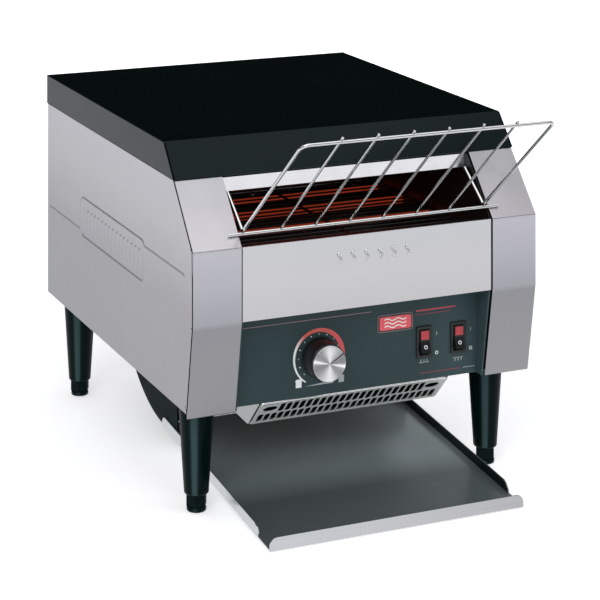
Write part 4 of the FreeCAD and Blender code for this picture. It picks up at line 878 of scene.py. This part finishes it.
def wramp(src, stops, lo=-1.0, hi=1.0):
    r = wn.nodes.new("ShaderNodeValToRGB")
    e = r.color_ramp.elements
    for k, (p, c) in enumerate(stops):
        q = (p - lo) / (hi - lo)
        it = e[k] if k < 2 else e.new(q)
        it.position = q
        it.color = (c, c, c, 1)
    mr = wn.nodes.new("ShaderNodeMapRange")
    mr.inputs["From Min"].default_value = lo
    mr.inputs["From Max"].default_value = hi
    wn.links.new(wsp.outputs[src], mr.inputs["Value"])
    wn.links.new(mr.outputs[0], r.inputs["Fac"])
    return r


def wmath(op, a, b):
    n = wn.nodes.new("ShaderNodeMath")
    n.operation = op
    for k, v in enumerate((a, b)):
        if isinstance(v, (int, float)):
            n.inputs[k].default_value = v
        else:
            wn.links.new(v, n.inputs[k])
    return n


# soft boxes overhead and at the sides, a black flag low down behind the object
up = wramp("Z", [(-1.0, 0.8), (1.0, 0.85), (-0.06, 0.8), (-0.01, 0.10), (0.34, 0.12), (0.60, 0.80)])
low = wramp("Z", [(-1.0, 0.0), (1.0, 1.0), (0.02, 0.0), (0.36, 0.0), (0.62, 1.0)])
rear = wramp("Y", [(-1.0, 0.0), (1.0, 1.0), (-0.05, 0.0), (0.30, 1.0)])
wdp = wn.nodes.new("ShaderNodeVectorMath")
wdp.operation = "DOT_PRODUCT"
wn.links.new(wtc.outputs["Generated"], wdp.inputs[0])
wdp.inputs[1].default_value = (0.41, 0.912, 0.0)
wsm = wn.nodes.new("ShaderNodeMapRange")
wsm.interpolation_type = "SMOOTHSTEP"
wsm.inputs["From Min"].default_value = 0.74
wsm.inputs["From Max"].default_value = 0.90
wn.links.new(wdp.outputs["Value"], wsm.inputs["Value"])
rear = wmath("MAXIMUM", wmath("MULTIPLY", rear.outputs["Color"], 0.72).outputs[0], wsm.outputs[0])
flag = wmath("SUBTRACT", 1.0, wmath("MULTIPLY", rear.outputs[0], wmath("SUBTRACT", 1.0, low.outputs["Color"]).outputs[0]).outputs[0])
tone = wmath("ADD", wmath("MULTIPLY", up.outputs["Color"], flag.outputs[0]).outputs[0], 0.006)
wn.links.new(tone.outputs[0], env.inputs["Color"])
env.inputs["Strength"].default_value = 1.0

fm, fnt, fbs = new_mat("studio_floor")
fbs.inputs["Base Color"].default_value = (0.93, 0.93, 0.935, 1)
fbs.inputs["Roughness"].default_value = 0.8
fbs.inputs["Specular IOR Level"].default_value = 0.1
fbs.inputs["Emission Color"].default_value = (1, 1, 1, 1)
fbs.inputs["Emission Strength"].default_value = 0.42
fpo = fnt.nodes.new("ShaderNodeNewGeometry")
fle = fnt.nodes.new("ShaderNodeVectorMath")
fle.operation = "LENGTH"
fnt.links.new(fpo.outputs["Position"], fle.inputs[0])
ffa = fnt.nodes.new("ShaderNodeMapRange")
ffa.interpolation_type = "SMOOTHSTEP"
ffa.inputs["From Min"].default_value = 0.5
ffa.inputs["From Max"].default_value = 2.6
ffa.inputs["To Min"].default_value = 0.42
ffa.inputs["To Max"].default_value = 1.0
fnt.links.new(fle.outputs["Value"], ffa.inputs["Value"])
fnt.links.new(ffa.outputs[0], fbs.inputs["Emission Strength"])
flp = fnt.nodes.new("ShaderNodeLightPath")
fem = fnt.nodes.new("ShaderNodeEmission")
fem.inputs["Color"].default_value = (0.985, 0.985, 1.0, 1)
fge = fnt.nodes.new("ShaderNodeNewGeometry")
fdp = fnt.nodes.new("ShaderNodeVectorMath")
fdp.operation = "DOT_PRODUCT"
fnt.links.new(fge.outputs["Incoming"], fdp.inputs[0])
fdp.inputs[1].default_value = (-0.41, -0.912, 0.0)
fmr = fnt.nodes.new("ShaderNodeMapRange")
fmr.interpolation_type = "SMOOTHSTEP"
fmr.inputs["From Min"].default_value = 0.68
fmr.inputs["From Max"].default_value = 0.92
fmr.inputs["To Min"].default_value = 1.0
fmr.inputs["To Max"].default_value = 0.12
fnt.links.new(fdp.outputs["Value"], fmr.inputs["Value"])
fnt.links.new(fmr.outputs[0], fem.inputs["Strength"])
fmx = fnt.nodes.new("ShaderNodeMixShader")
fout = [n for n in fnt.nodes if n.type == "OUTPUT_MATERIAL"][0]
fnt.links.new(flp.outputs["Is Glossy Ray"], fmx.inputs["Fac"])
fnt.links.new(fbs.outputs[0], fmx.inputs[1])
fnt.links.new(fem.outputs[0], fmx.inputs[2])
fnt.links.new(fmx.outputs[0], fout.inputs["Surface"])
me = bpy.data.meshes.new("floor")
me.from_pydata([(-8, -8, 0), (8, -8, 0), (8, 8, 0), (-8, 8, 0)], [], [(0, 1, 2, 3)])
floor = bpy.data.objects.new("floor", me)
floor.data.materials.append(fm)
sc.collection.objects.link(floor)
floor.location.z = -0.0004


def area(name, loc, target, size, power, color=(1, 1, 1), size_y=None):
    li = bpy.data.lights.new(name, "AREA")
    li.shape = "RECTANGLE"
    li.size = size
    li.size_y = size_y or size
    li.energy = power
    li.color = color
    o = bpy.data.objects.new(name, li)
    o.location = loc
    o.rotation_euler = (Vector(target) - Vector(loc)).to_track_quat("-Z", "Y").to_euler()
    sc.collection.objects.link(o)
    return o


area("key", (-1.6, -1.9, 2.2), (0, 0, 0.2), 1.4, 26)
area("fill", (2.0, -1.6, 1.3), (0, 0, 0.2), 1.2, 10).visible_glossy = False
area("top", (0.2, -0.4, 2.6), (0, 0, 0.2), 2.0, 12)

cam_d = bpy.data.cameras.new("camera")
cam = bpy.data.objects.new("camera", cam_d)
sc.collection.objects.link(cam)
cam.location = (-0.891303, -1.988631, 0.792535)
cam.rotation_euler = (math.radians(90), 0, -0.402)
cam_d.sensor_width = 36.0
cam_d.lens = 2079.648 / 600 * 36
cam_d.shift_x = (300 - 250.0) / 600
SHIFT_Y = (-316.605 - 300) / 600
cam_d.shift_y = 0.0
# the sideways and upward lens shift belongs to this one viewpoint: it fades out
# as soon as the camera stands anywhere else
for path, value in (("shift_x", (300 - 250.0) / 600), ("shift_y", SHIFT_Y)):
    fc = cam_d.driver_add(path)
    fc.driver.type = "SUM"
    for k in range(10):
        var = fc.driver.variables.new()
        var.name = "x%d" % k
        var.type = "TRANSFORMS"
        var.targets[0].id = cam
        var.targets[0].transform_type = "LOC_X"
        var.targets[0].transform_space = "WORLD_SPACE"
    for md in list(fc.modifiers):
        fc.modifiers.remove(md)
    for k, (x, v) in enumerate(((-9.10, 0.0), (-8.97, 0.0), (-8.94, value), (-8.88, value), (-8.85, 0.0), (-8.70, 0.0))):
        kp = fc.keyframe_points.insert(x, v)
        kp.interpolation = "LINEAR"
    fc.extrapolation = "CONSTANT"
cam_d.clip_start = 0.05
cam_d.clip_end = 50
sc.camera = cam
